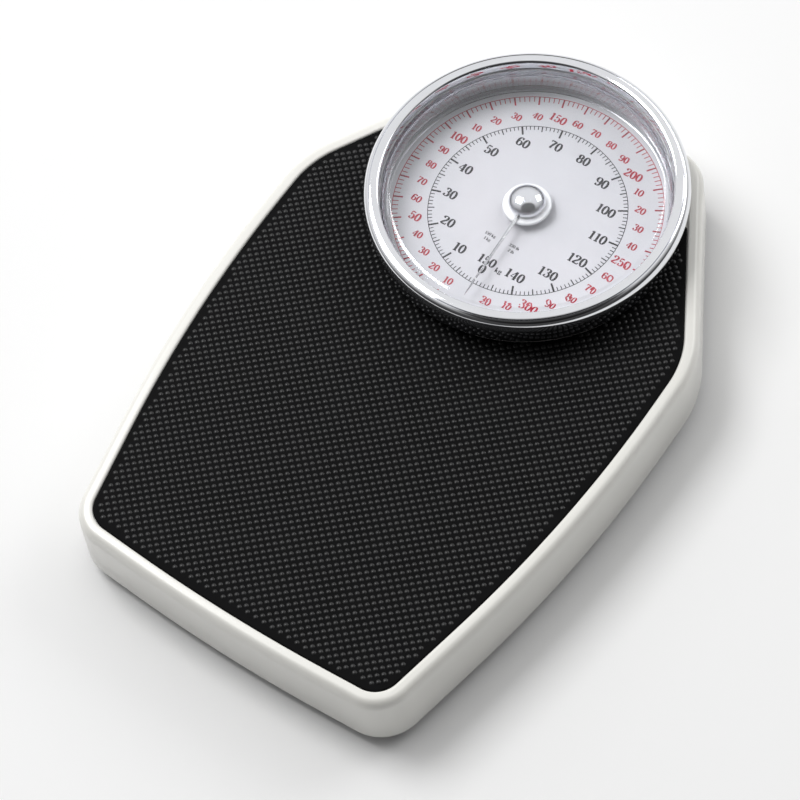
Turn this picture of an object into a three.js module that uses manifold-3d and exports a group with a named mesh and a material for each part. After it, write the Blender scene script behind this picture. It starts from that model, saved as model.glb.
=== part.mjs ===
// A mechanical dial platform scale: a pressed base on rubber feet, knife-edge levers, a coil spring,
// a crank and rack that turn the pointer, a fixed dial head, and a platform that sinks as it is loaded.
// Millimetres, +Z up. The origin is on the floor, under the middle of the overall box; the dial stands
// at the back (+Y) and people step on at the front (-Y).
import * as THREE from "three";
import { mergeVertices } from "three/addons/utils/BufferGeometryUtils.js";
import Module from "manifold-3d";

const wasm = await Module();
wasm.setup();

// ---- Plan of the platform, measured from the dial's axis ----
const frontReach = 351; // dial axis to the front wall's foot
const backReach = 94; // dial axis to the back wall
const shoulderWidth = 312; // widest part of the cover at deck height
const frontWidth = 241; // where the side lines meet the front line
const backWidth = 158; // where the shoulder lines meet the back line
const sideBendY = -178; // where the two straight side lines meet
const shoulderY = -41; // where side and shoulder lines meet
const frontBow = 7; // how far the front line falls back at its ends
const cornerRadius = { frontMiddle: 1270, front: 28, sideBend: 930, shoulder: 80, back: 30 };
const wallFlare = 2.4; // the skirt's foot stands this far outside its top

// ---- Heights above the floor ----
const skirtBottomZ = 10;
const deckTopZ = 53.5;
const deckThickness = 2;
const rimHeight = 2.6; // the rim above the deck, round the mat
const rimWidth = 10;
const wallThickness = 2;
const matThickness = 2.5;

// ---- Movement ----
const fullLoadTravel = 3; // how far the platform sinks at full load
const gap = 0.3; // between pieces that touch
const slack = 0.6; // round pins and forks that slide

// ---- Base ----
const baseInset = 8; // base plate's edge inside the cover's outline
const plateThickness = 2;
const plateBottomZ = 8;
const flangeTopZ = 18;
const footRadius = 14;
const footMargin = { side: 36, front: 51, rear: 39 }; // foot centre in from the cover's lines
const screwHeadRadius = 4;
const screwHeadHeight = 2;

// ---- Levers ----
const leverBottomZ = 28;
const leverHeight = 12;
const leverThickness = 3;
const frontPostMargin = { side: 24, end: 45 }; // post centre in from the cover's lines
const rearPostMargin = { side: 30, end: 51 };
const noseSpot = { x: 14, y: -26 };
const longLoadArm = 60; // fulcrum to the platform's knife edge
const meetY = -100; // where the short levers press on the long ones
const leverTail = 10; // lever past its fulcrum
const postWidth = 22;
const postDepth = 8;
const knifeWidth = 16;
const knifeDepth = 8;

// ---- Spring, crank, rack and pinion ----
const noseThickness = 3;
const springMeanRadius = 8;
const springWireRadius = 1.1;
const springTurns = 6;
const crankThickness = 2.4;
const crankTipRadius = 2.4;
const forkOverhang = 3.5; // crank's fork past the nose pin
const slotMargin = 1.5; // slot in the base round the fork
const pinRadius = 1.5;
const pinionTeeth = 15;
const toothModule = 0.35;
const rackHeight = 3.5;
const rackOverrun = 5; // rack past the pinion's axis at either end of its travel
const prongThickness = 2.4;
const anchorSide = { left: -7, right: 2 }; // clear of the rack as it slides past
const spindleRadius = 1.5;

// ---- Head ----
const bezelRadius = 106.6;
const bezelRise = 32; // dial face to the top of the bezel
const bezelInnerRadius = 96;
const bezelSkirtRadius = 104.6;
const bezelSkirtRise = 8; // dial face to the skirt's foot
const housingRadius = 99;
const housingWall = 1.2;
const housingFloor = 0.8;
const housingEdge = 1; // chamfer round the foot
const dialRadius = 97.3;
const dialThickness = 0.6;
const lensRadius = 95.5;
const lensWall = 1.6;
const lensRise = 25.7; // dial face to the lens top
const bridgeHalfWidth = 32;
const bridgeFrontY = -40;
const bridgeBackY = 30;
const sheet = 2; // sheet steel of the brackets
const pointerRise = 7.4; // dial face to the underside of the pointer
const pointerLength = 79;
const pointerThickness = 0.8;
const pointerOffset = (2.6 * Math.PI) / 180; // the pointer rests this far off zero; the knob takes it up
const domeRadius = 12.3;
const domeHeight = 8;
const collarRadius = 16.3;
const collarHeight = 3;

// ---- Zero knob ----
const knobRadius = 11;
const knobThickness = 12;
const knobZ = 24;
const shaftRadius = 2.5;

// ---- Worked out from the sizes above ----
const frontY = -(frontReach - wallFlare);
const footY = { front: footMargin.front - frontReach, rear: backReach - footMargin.rear };
const frontPostY = frontPostMargin.end - frontReach;
const rearPostY = backReach - rearPostMargin.end;
const longPost = { x: halfWidthAt(frontPostY) - frontPostMargin.side, y: frontPostY };
const shortPost = { x: halfWidthAt(rearPostY) - rearPostMargin.side, y: rearPostY };
const deckBottomZ = deckTopZ - deckThickness;
const rimTopZ = deckTopZ + rimHeight;
const plateTopZ = plateBottomZ + plateThickness;
const leverTopZ = leverBottomZ + leverHeight;
const longArm = noseSpot.y - longPost.y;
const longRatio = (meetY - longPost.y) / longLoadArm;
const shortLoadArm = (shortPost.y - meetY) / longRatio;
const noseTravel = (fullLoadTravel * longArm) / longLoadArm;
const pitchRadius = (pinionTeeth * toothModule) / 2;
const rackTravel = 2 * Math.PI * pitchRadius;
const noseTopZ = leverBottomZ - gap;
const nosePinZ = noseTopZ - noseThickness / 2;
const ledgeHalfWidth = noseSpot.x + leverThickness;
const crankX = ledgeHalfWidth + 1;
const bridgeTopZ = deckTopZ - 0.2;
const bridgeUnderZ = bridgeTopZ - sheet;
const rackTopZ = bridgeUnderZ - 0.8;
const rackBottomZ = rackTopZ - rackHeight;
const crankPivotZ = nosePinZ - noseTravel / 2;
const crankLongArm = rackBottomZ - 2 * gap - crankTipRadius - crankPivotZ;
const crankSwing = rackTravel / crankLongArm;
const crankShortArm = noseTravel / 2 / Math.sin(crankSwing / 2);
const crankPivot = { y: noseSpot.y + crankShortArm * Math.cos(crankSwing / 2), z: crankPivotZ };
const forkReach = crankShortArm + forkOverhang;
const crankTipY = crankPivot.y + crankLongArm * Math.sin(crankSwing / 2);
const bridgeReach = Math.hypot(bridgeHalfWidth, Math.max(-bridgeFrontY, bridgeBackY));
const deckHoleRadius = bridgeReach + 3;
const housingBottomZ = deckTopZ + 0.4;
const dialBottomZ = housingBottomZ + housingFloor + gap;
const dialFaceZ = dialBottomZ + dialThickness;
const bezelTopZ = dialFaceZ + bezelRise;
const lensTopZ = dialFaceZ + lensRise;
const matCutRadius = housingRadius + 1.5;
const matBackY = matCutRadius * 0.42; // the mat ends here, at either side of the head
const pointerZ = dialFaceZ + pointerRise;
const spindleTopZ = pointerZ + pointerThickness;
const yokeBottomZ = rackBottomZ - 9;
const originY = (frontReach - bezelRadius) / 2; // the dial's axis in the part's frame

// Half the width of the cover's plan at a distance along it, from its straight side lines.
function halfWidthAt(y) {
  const shoulder = shoulderWidth / 2;
  const shoulderShare = Math.max(0, (y - shoulderY) / (backReach - shoulderY));
  const sideShare = Math.max(0, (sideBendY - y) / (sideBendY - frontY - frontBow));
  return shoulder + (backWidth / 2 - shoulder) * shoulderShare + (frontWidth / 2 - shoulder) * sideShare;
}

// ---- Finishes ----
function finish(color, roughness, metalness) {
  return new THREE.MeshStandardMaterial({ color, roughness, metalness });
}
const enamel = finish(0xecebe6, 0.35, 0);
const steel = finish(0xa9abad, 0.45, 0.9);
const darkSteel = finish(0x6d6f71, 0.55, 0.8);
const chrome = finish(0xe6e8ea, 0.08, 1);
const brass = finish(0xb99a4e, 0.35, 1);
const blackRubber = finish(0x1d1d1d, 0.8, 0);
const dialWhite = finish(0xdadbe2, 0.5, 0);
const blackPlastic = finish(0x232323, 0.5, 0);
const whitePlastic = finish(0xeeeeee, 0.4, 0);
const clear = new THREE.MeshStandardMaterial({
  color: 0xf4f6f8,
  roughness: 0.05,
  metalness: 0,
  transparent: true,
  opacity: 0.3,
});

// ---- Helpers ----
function solidOf(geometry) {
  const bare = geometry.index ? geometry.toNonIndexed() : geometry.clone();
  bare.deleteAttribute("normal");
  bare.deleteAttribute("uv");
  const merged = mergeVertices(bare, 1e-4);
  const mesh = new wasm.Mesh({
    numProp: 3,
    vertProperties: merged.attributes.position.array,
    triVerts: new Uint32Array(merged.index.array),
  });
  return new wasm.Manifold(mesh);
}

function geometryOf(solid) {
  const mesh = solid.getMesh();
  const geometry = new THREE.BufferGeometry();
  geometry.setAttribute("position", new THREE.BufferAttribute(mesh.vertProperties, 3));
  geometry.setIndex(new THREE.BufferAttribute(mesh.triVerts, 1));
  return geometry;
}

function joined(first, ...others) {
  const solid = others.reduce((sum, next) => sum.add(solidOf(next)), solidOf(first));
  return geometryOf(solid);
}

function cut(first, ...others) {
  const solid = others.reduce((rest, next) => rest.subtract(solidOf(next)), solidOf(first));
  return geometryOf(solid);
}

function block(x0, x1, y0, y1, z0, z1) {
  const geometry = new THREE.BoxGeometry(x1 - x0, y1 - y0, z1 - z0);
  return geometry.translate((x0 + x1) / 2, (y0 + y1) / 2, (z0 + z1) / 2);
}

function post(x, y, radius, z0, z1, sides = 24) {
  const geometry = new THREE.CylinderGeometry(radius, radius, z1 - z0, sides);
  return geometry.rotateX(Math.PI / 2).translate(x, y, (z0 + z1) / 2);
}

// A round bar along X or Y.
function barX(x0, x1, y, z, radius, sides = 16) {
  const geometry = new THREE.CylinderGeometry(radius, radius, x1 - x0, sides);
  return geometry.rotateZ(Math.PI / 2).translate((x0 + x1) / 2, y, z);
}

function barY(x, y0, y1, z, radius, sides = 16) {
  const geometry = new THREE.CylinderGeometry(radius, radius, y1 - y0, sides);
  return geometry.translate(x, (y0 + y1) / 2, z);
}

// A body turned about Z from a closed profile of [radius, z] points that runs anticlockwise.
function turned(profile, sides = 56) {
  const points = [...profile, profile[0]].map(([r, z]) => new THREE.Vector2(r, z));
  return new THREE.LatheGeometry(points, sides).rotateX(Math.PI / 2);
}

function extruded(shape, depth) {
  return new THREE.ExtrudeGeometry(shape, { depth, bevelEnabled: false, curveSegments: 8 });
}

// A flat plate drawn as [y, z] points, standing across X.
function plateAcrossX(shape, x0, thickness) {
  const geometry = extruded(shape, thickness);
  const toYZ = new THREE.Matrix4().makeBasis(
    new THREE.Vector3(0, 1, 0),
    new THREE.Vector3(0, 0, 1),
    new THREE.Vector3(1, 0, 0),
  );
  return geometry.applyMatrix4(toYZ).translate(x0, 0, 0);
}

// The cover's plan as straight lines with rounded corners: right half first, then its mirror.
function planCorners() {
  const halfFront = frontWidth / 2;
  const meetingY = frontY - bowDepth();
  const right = [
    [halfFront, meetingY + frontBow, cornerRadius.front],
    [shoulderWidth / 2, sideBendY, cornerRadius.sideBend],
    [shoulderWidth / 2, shoulderY, cornerRadius.shoulder],
    [backWidth / 2, backReach, cornerRadius.back],
  ];
  const left = right.map(([x, y, r]) => [-x, y, r]).reverse();
  return eased([[0, meetingY, cornerRadius.frontMiddle], ...right, ...left]);
}

// How far a corner turns from the line before it to the line after it.
function turnAt(corners, i) {
  const [x, y] = corners[i];
  const [beforeX, beforeY] = corners[(i + corners.length - 1) % corners.length];
  const [afterX, afterY] = corners[(i + 1) % corners.length];
  const inAngle = Math.atan2(y - beforeY, x - beforeX);
  const outAngle = Math.atan2(afterY - y, afterX - x);
  const turn = Math.atan2(Math.sin(outAngle - inAngle), Math.cos(outAngle - inAngle));
  return { inAngle, turn };
}

// Corners whose rounding would run past a line's end get a smaller radius.
function eased(corners) {
  const count = corners.length;
  const mostOfLine = 0.95;
  const reach = corners.map(([, , radius], i) => radius * Math.tan(turnAt(corners, i).turn / 2));
  const room = corners.map(([x, y], i) => {
    const next = (i + 1) % count;
    const length = Math.hypot(corners[next][0] - x, corners[next][1] - y);
    return Math.min(1, (mostOfLine * length) / (reach[i] + reach[next]));
  });
  return corners.map(([x, y, radius], i) => [x, y, radius * Math.min(room[i], room[(i + count - 1) % count])]);
}

// How far the two front lines' meeting point stands below the arc that rounds it.
function bowDepth() {
  const slope = Math.atan2(frontBow, frontWidth / 2);
  return cornerRadius.frontMiddle * (1 / Math.cos(slope) - 1);
}

// The same corners with every line moved inwards by a distance.
function insetCorners(corners, distance) {
  const count = corners.length;
  const lines = corners.map(([x, y], i) => {
    const [nextX, nextY] = corners[(i + 1) % count];
    const length = Math.hypot(nextX - x, nextY - y);
    const direction = [(nextX - x) / length, (nextY - y) / length];
    return { x: x - direction[1] * distance, y: y + direction[0] * distance, direction };
  });
  return corners.map(([, , radius], i) => {
    const a = lines[(i + count - 1) % count];
    const b = lines[i];
    const cross = a.direction[0] * b.direction[1] - a.direction[1] * b.direction[0];
    const along = ((b.x - a.x) * b.direction[1] - (b.y - a.y) * b.direction[0]) / cross;
    return [a.x + a.direction[0] * along, a.y + a.direction[1] * along, Math.max(radius - distance, 1)];
  });
}

// Points along the rounded outline; every outline of the cover has the same number of them.
function outline(distance) {
  const corners = insetCorners(planCorners(), distance);
  const steps = 6;
  return corners.flatMap(([x, y, radius], i) => {
    const { inAngle, turn } = turnAt(corners, i);
    const reach = radius * Math.tan(turn / 2);
    const startX = x - Math.cos(inAngle) * reach;
    const startY = y - Math.sin(inAngle) * reach;
    const centreX = startX - Math.sin(inAngle) * radius;
    const centreY = startY + Math.cos(inAngle) * radius;
    return Array.from({ length: steps + 1 }, (_, k) => {
      const angle = inAngle - Math.PI / 2 + (turn * k) / steps;
      return new THREE.Vector2(centreX + Math.cos(angle) * radius, centreY + Math.sin(angle) * radius);
    });
  });
}

// A solid whose outline changes with height: levels are [inset, z], lowest first.
function stacked(levels) {
  const rings = levels.map(([inset]) => outline(inset));
  const count = rings[0].length;
  const positions = levels.flatMap(([, z], i) => rings[i].flatMap((p) => [p.x, p.y, z]));
  const indices = [];
  for (let level = 0; level + 1 < levels.length; level++) {
    for (let k = 0; k < count; k++) {
      const a = level * count + k;
      const b = level * count + ((k + 1) % count);
      indices.push(a, b, b + count, a, b + count, a + count);
    }
  }
  const last = (levels.length - 1) * count;
  for (const [a, b, c] of THREE.ShapeUtils.triangulateShape(rings[0], [])) {
    indices.push(c, b, a);
  }
  for (const [a, b, c] of THREE.ShapeUtils.triangulateShape(rings[levels.length - 1], [])) {
    indices.push(last + a, last + b, last + c);
  }
  const geometry = new THREE.BufferGeometry();
  geometry.setAttribute("position", new THREE.Float32BufferAttribute(positions, 3));
  geometry.setIndex(indices);
  return geometry;
}

const part = new THREE.Group();
const working = new THREE.Group(); // its origin is on the floor under the dial's axis
working.position.y = originY;
part.add(working);

function add(name, geometry, material) {
  const mesh = new THREE.Mesh(geometry, material);
  mesh.name = name;
  working.add(mesh);
  return mesh;
}

// ---- Platform ----
function platformCover() {
  const outside = stacked([
    [-wallFlare, skirtBottomZ],
    [0, deckTopZ - 5.5],
    [0.9, deckTopZ - 1.5],
    [3, rimTopZ - 0.9],
    [5.6, rimTopZ],
  ]);
  const inside = stacked([
    [wallThickness - wallFlare, skirtBottomZ - 1],
    [wallThickness, deckBottomZ - 4],
    [wallThickness + 2.5, deckBottomZ],
  ]);
  const matWell = stacked([
    [rimWidth, deckTopZ],
    [rimWidth, rimTopZ + 1],
  ]);
  const headHole = post(0, 0, deckHoleRadius, skirtBottomZ, rimTopZ, 40);
  const headRoom = post(0, 0, matCutRadius, deckTopZ, rimTopZ + 1, 56);
  const notchTopZ = knobZ + knobRadius + fullLoadTravel + 1;
  const notchHalf = knobRadius + 2;
  const knobNotch = block(-notchHalf, notchHalf, backReach - 8, backReach + 8, 0, notchTopZ);
  return cut(outside, inside, matWell, headHole, headRoom, knobNotch);
}

function rubberMat() {
  const whole = stacked([
    [rimWidth + gap, deckTopZ + gap],
    [rimWidth + gap, deckTopZ + gap + matThickness],
  ]);
  const top = deckTopZ + matThickness + 2;
  const headCut = post(0, 0, matCutRadius, deckTopZ - 1, top, 56);
  const behindHead = block(-shoulderWidth, shoulderWidth, matBackY, backReach * 2, deckTopZ - 1, top);
  return cut(whole, headCut, behindHead);
}

// Knife-edge bracket under the deck: a block that ends in a ridge along X.
function knifeBracket(x, y) {
  const top = deckBottomZ - gap;
  const tip = leverTopZ + gap;
  const shape = new THREE.Shape();
  shape.moveTo(y - knifeDepth / 2, top);
  shape.lineTo(y - knifeDepth / 2, tip + knifeDepth / 2);
  shape.lineTo(y, tip);
  shape.lineTo(y + knifeDepth / 2, tip + knifeDepth / 2);
  shape.lineTo(y + knifeDepth / 2, top);
  return plateAcrossX(shape, x - knifeWidth / 2, knifeWidth);
}

// Pressed stiffening channel under the deck, across the front of the platform.
function deckStiffener() {
  const y = longPost.y + longLoadArm * 2;
  const half = frontWidth * 0.4;
  const top = deckBottomZ - gap;
  return cut(
    block(-half, half, y - 14, y + 14, top - 6, top),
    block(-half - 1, half + 1, y - 14 + sheet, y + 14 - sheet, top - 7, top - sheet),
  );
}

// ---- Base ----
function basePlate() {
  return cut(
    stacked([
      [baseInset, plateBottomZ],
      [baseInset, flangeTopZ],
    ]),
    stacked([
      [baseInset + sheet, plateTopZ],
      [baseInset + sheet, flangeTopZ + 1],
    ]),
    forkSlot(),
  );
}

// The crank's fork dips through the base here at full load.
function forkSlot() {
  const right = crankX + crankThickness + slotMargin;
  const front = crankPivot.y - forkReach - slotMargin;
  return block(crankX - slotMargin, right, front, crankPivot.y - 7, plateBottomZ - 1, plateTopZ + 1);
}

function rubberFoot(x, y) {
  const top = plateBottomZ - gap;
  const body = turned([
    [0, 0],
    [footRadius - 1.5, 0],
    [footRadius, 1.5],
    [footRadius - 2, top],
    [0, top],
  ], 28).translate(x, y, 0);
  return cut(body, post(x, y, screwHeadRadius + 1.5, -1, top - 3));
}

function footScrew(x, y) {
  const top = plateBottomZ - gap - 3 - gap;
  return post(x, y, screwHeadRadius, top - screwHeadHeight, top, 16);
}

// Fulcrum post: a plate on the base that ends in a ridge along X.
function fulcrumPost(x, y) {
  const bottom = plateTopZ + gap;
  const tip = leverBottomZ - gap;
  const shape = new THREE.Shape();
  shape.moveTo(y - postDepth / 2, bottom);
  shape.lineTo(y + postDepth / 2, bottom);
  shape.lineTo(y + postDepth / 2, tip - postDepth / 2);
  shape.lineTo(y, tip);
  shape.lineTo(y - postDepth / 2, tip - postDepth / 2);
  return plateAcrossX(shape, x - postWidth / 2, postWidth);
}

// ---- Levers ----
// A steel strip on edge between two points in plan, running past its first point by a tail.
function strip(from, to, tail, z0, z1) {
  const length = Math.hypot(to.x - from.x, to.y - from.y);
  const angle = Math.atan2(to.y - from.y, to.x - from.x);
  const geometry = block(-tail, length, -leverThickness / 2, leverThickness / 2, z0, z1);
  return geometry.rotateZ(angle).translate(from.x, from.y, 0);
}

function alongLong(side, y) {
  const share = (y - longPost.y) / longArm;
  return { x: side * (longPost.x + (noseSpot.x - longPost.x) * share), y };
}

function alongShort(side, y) {
  const meet = alongLong(side, meetY);
  const share = (shortPost.y - y) / (shortPost.y - meetY);
  return { x: side * shortPost.x + (meet.x - side * shortPost.x) * share, y };
}

function longLever(side) {
  const start = alongLong(side, longPost.y);
  const end = alongLong(side, noseSpot.y + 4);
  return strip(start, end, leverTail, leverBottomZ, leverTopZ);
}

// The short lever stops beside the long one and lays a tongue across its top edge.
function shortLever(side) {
  const start = alongShort(side, shortPost.y);
  const end = alongShort(side, meetY + 14);
  const tongue = block(-8, 8, -7, 7, 0, 2.4);
  const meet = alongShort(side, meetY + 8);
  tongue.translate(meet.x, meet.y, leverTopZ + gap);
  const neck = strip(start, end, leverTail, leverBottomZ, leverTopZ);
  const riser = block(-2, 2, -4, 4, 0, 3.5);
  riser.translate(end.x + side * 0.4, end.y + 3, leverTopZ - 1);
  return joined(neck, riser, tongue);
}

// ---- Spring and nose plate ----
function nosePlate() {
  const half = 6;
  const ledge = block(-ledgeHalfWidth, ledgeHalfWidth, noseSpot.y - half, noseSpot.y + half,
    noseTopZ - noseThickness, noseTopZ);
  const boss = post(0, noseSpot.y, 3, noseTopZ - 1, noseTopZ + 3);
  const pin = barX(ledgeHalfWidth - 1, crankX + crankThickness + 1, noseSpot.y, nosePinZ, pinRadius);
  return joined(ledge, boss, pin);
}

class Helix extends THREE.Curve {
  constructor(radius, bottom, top, turns) {
    super();
    Object.assign(this, { radius, bottom, top, turns });
  }
  getPoint(share, target = new THREE.Vector3()) {
    const angle = share * this.turns * 2 * Math.PI;
    const height = this.bottom + (this.top - this.bottom) * share;
    return target.set(this.radius * Math.cos(angle), this.radius * Math.sin(angle), height);
  }
}

function mainSpring() {
  const bottom = noseTopZ + gap + springWireRadius;
  const top = anchorUnderZ() - gap - springWireRadius;
  const path = new Helix(springMeanRadius, bottom, top, springTurns);
  const section = new THREE.Shape();
  for (let k = 0; k < 6; k++) {
    const angle = (k * Math.PI) / 3;
    const move = k ? "lineTo" : "moveTo";
    section[move](springWireRadius * Math.cos(angle), springWireRadius * Math.sin(angle));
  }
  const geometry = new THREE.ExtrudeGeometry(section, { steps: springTurns * 12, extrudePath: path });
  return geometry.translate(0, noseSpot.y, 0);
}

function anchorUnderZ() {
  return bridgeUnderZ - gap - sheet;
}

// The spring hangs from this arm, whose leg bears on the end of the zero screw.
function springAnchor() {
  const { left, right } = anchorSide;
  const legY = noseSpot.y + springMeanRadius + springWireRadius + 1.5;
  const top = bridgeUnderZ - gap;
  return joined(
    block(left, right, noseSpot.y - springMeanRadius - 3, legY + sheet, anchorUnderZ(), top),
    block(left, right, legY, legY + sheet, knobZ - shaftRadius - 1, top),
  );
}

// ---- Crank, rack and pinion ----
function crankShape() {
  const half = 4.2;
  const hub = 5;
  const neck = 1.3;
  const forkRoot = crankShortArm - 6;
  const grip = pinRadius + slack;
  const headStart = -Math.acos(neck / crankTipRadius);
  const shape = new THREE.Shape();
  shape.moveTo(-forkReach, -half);
  shape.lineTo(-hub, -half);
  shape.absarc(0, 0, hub, 1.3 * Math.PI, 2 * Math.PI, false);
  shape.lineTo(neck, hub * 2);
  shape.absarc(0, crankLongArm, crankTipRadius, headStart, Math.PI - headStart, false);
  shape.lineTo(-neck, hub * 2);
  shape.lineTo(-hub, half);
  shape.lineTo(-forkReach, half);
  shape.lineTo(-forkReach, grip);
  shape.lineTo(-forkRoot, grip);
  shape.lineTo(-forkRoot, -grip);
  shape.lineTo(-forkReach, -grip);
  const bore = new THREE.Path();
  bore.absarc(0, 0, 2 + gap, 0, 2 * Math.PI, true);
  shape.holes.push(bore);
  return shape;
}

// The crank at rest leans back by half its swing.
function bellCrank() {
  const geometry = plateAcrossX(crankShape(), 0, crankThickness);
  return geometry.rotateX(-crankSwing / 2).translate(crankX, crankPivot.y, crankPivot.z);
}

function crankBracket() {
  const front = crankPivot.y - 5;
  const back = crankPivot.y + 5;
  const bottom = plateTopZ + gap;
  const ear = (x0) => block(x0, x0 + sheet, front, back, bottom, crankPivot.z + 5);
  const left = crankX - gap - sheet;
  const right = crankX + crankThickness + gap;
  const floor = block(left, right + sheet, front, back, bottom, bottom + 1.2);
  const whole = joined(ear(left), ear(right), floor);
  return cut(whole, barX(left - 1, right + sheet + 1, crankPivot.y, crankPivot.z, 2 + gap));
}

function crankPin() {
  const left = crankX - gap - sheet - 1;
  const right = crankX + crankThickness + gap + sheet + 1;
  return barX(left, right, crankPivot.y, crankPivot.z, 2);
}

function toothedWheel() {
  const shape = new THREE.Shape();
  const rootRadius = pitchRadius - 1.1 * toothModule;
  const tipRadius = pitchRadius + 0.8 * toothModule;
  const step = (2 * Math.PI) / pinionTeeth;
  for (let tooth = 0; tooth < pinionTeeth; tooth++) {
    const marks = [[-0.3, rootRadius], [-0.11, tipRadius], [0.11, tipRadius], [0.3, rootRadius]];
    marks.forEach(([share, radius], k) => {
      const angle = (tooth + share + 0.5) * step;
      const move = tooth || k ? "lineTo" : "moveTo";
      shape[move](radius * Math.cos(angle), radius * Math.sin(angle));
    });
  }
  const bore = new THREE.Path();
  bore.absarc(0, 0, 1.1 + gap, 0, 2 * Math.PI, true);
  shape.holes.push(bore);
  return extruded(shape, rackHeight);
}

function pinion() {
  return toothedWheel().translate(0, 0, rackBottomZ);
}

// The rack lies to the right of the pinion; two prongs under it hold the crank's tip.
function rack() {
  const pitch = Math.PI * toothModule;
  const grip = crankTipRadius + slack;
  const front = -Math.max(rackOverrun, grip + prongThickness - crankTipY + 1);
  const back = rackTravel + rackOverrun;
  const faceX = pitchRadius + 1.1 * toothModule + gap / 2;
  const shape = new THREE.Shape();
  const outer = crankX + crankThickness + 0.8;
  shape.moveTo(faceX + 1.5, front);
  shape.lineTo(outer, front);
  shape.lineTo(outer, back);
  shape.lineTo(faceX + 1.5, back);
  shape.lineTo(faceX, back);
  for (let tooth = Math.floor((back - 1) / pitch); tooth * pitch > front + 1; tooth--) {
    const y = tooth * pitch;
    const tipX = faceX - 1.7 * toothModule;
    shape.lineTo(faceX, y + pitch * 0.28);
    shape.lineTo(tipX, y + pitch * 0.08);
    shape.lineTo(tipX, y - pitch * 0.08);
    shape.lineTo(faceX, y - pitch * 0.28);
  }
  shape.lineTo(faceX, front);
  const bar = extruded(shape, rackHeight).translate(0, 0, rackBottomZ);
  const prongBottom = crankPivot.z + crankLongArm * Math.cos(crankSwing / 2) - 1.5;
  const prong = (y0, y1) => block(crankX - 0.8, outer, y0, y1, prongBottom, rackBottomZ + 1);
  const behind = prong(crankTipY + grip, crankTipY + grip + prongThickness);
  const before = prong(crankTipY - grip - prongThickness, crankTipY - grip);
  return joined(bar, behind, before);
}

function rackGuide() {
  const x = crankX + crankThickness + 0.8 + gap;
  const top = bridgeUnderZ - gap;
  return joined(
    block(x, x + sheet, bridgeFrontY + 14, bridgeBackY - 4, rackBottomZ, top),
    block(x, bridgeHalfWidth - sheet - 1, bridgeFrontY + 14, bridgeBackY - 4, top - 1.2, top),
  );
}

function spindle() {
  return joined(
    post(0, 0, 1.1, yokeBottomZ - 0.5, spindleTopZ, 16),
    post(0, 0, spindleRadius, bridgeUnderZ - 0.3, spindleTopZ - 3, 16),
  );
}

function spindleYoke() {
  const left = -12;
  const top = bridgeUnderZ - gap;
  const whole = joined(
    block(left, left + sheet, -5, 5, yokeBottomZ, top),
    block(left, 4, -5, 5, yokeBottomZ, yokeBottomZ + sheet),
    block(left - 6, left + sheet, -5, 5, top - 1.2, top),
  );
  return cut(whole, post(0, 0, 1.1 + gap, yokeBottomZ - 1, yokeBottomZ + sheet + 1, 16));
}

// ---- Head ----
function headBridge() {
  const x = bridgeHalfWidth;
  const bottom = plateTopZ + gap;
  const foot = 14;
  const whole = joined(
    block(-x, x, bridgeFrontY, bridgeBackY, bridgeUnderZ, bridgeTopZ),
    block(-x, -x + sheet, bridgeFrontY, bridgeBackY, bottom, bridgeTopZ),
    block(x - sheet, x, bridgeFrontY, bridgeBackY, bottom, bridgeTopZ),
    block(-x - foot, -x + sheet, bridgeFrontY, bridgeBackY, bottom, bottom + sheet),
    block(x - sheet, x + foot, bridgeFrontY, bridgeBackY, bottom, bottom + sheet),
  );
  return cut(whole, post(0, 0, 4 + gap, bridgeUnderZ - 1, bridgeTopZ + 1));
}

function bridgeScrew(x, y) {
  const bottom = plateTopZ + gap + sheet + gap;
  return post(x, y, screwHeadRadius, bottom, bottom + screwHeadHeight, 16);
}

function spindleBush() {
  const inner = spindleRadius + gap;
  return turned([
    [inner, bridgeUnderZ],
    [4, bridgeUnderZ],
    [4, bridgeTopZ + 1.2],
    [inner, bridgeTopZ + 1.2],
  ], 24);
}

function dialHousing() {
  const top = lensTopZ - 3;
  const innerHole = 6;
  return turned([
    [innerHole, housingBottomZ],
    [housingRadius - housingEdge, housingBottomZ],
    [housingRadius, housingBottomZ + housingEdge],
    [housingRadius, top],
    [housingRadius - housingWall, top],
    [housingRadius - housingWall, housingBottomZ + housingFloor],
    [innerHole, housingBottomZ + housingFloor],
  ]);
}

function dialPlate() {
  return turned([
    [5, dialBottomZ],
    [dialRadius, dialBottomZ],
    [dialRadius, dialFaceZ],
    [5, dialFaceZ],
  ]);
}

function lens() {
  const bottom = dialFaceZ + gap;
  return turned([
    [lensRadius - lensWall, bottom],
    [lensRadius, bottom],
    [lensRadius, lensTopZ - 2],
    [lensRadius - 1.4, lensTopZ],
    [0, lensTopZ],
    [0, lensTopZ - lensWall],
    [lensRadius - lensWall - 1, lensTopZ - lensWall],
    [lensRadius - lensWall, lensTopZ - lensWall - 2],
  ]);
}

function lensSeal() {
  const top = lensTopZ - 3 + gap + 1.6;
  return turned([
    [lensRadius + gap, top - 1.6],
    [housingRadius, top - 1.6],
    [housingRadius, top],
    [lensRadius + gap, top],
  ]);
}

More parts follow.
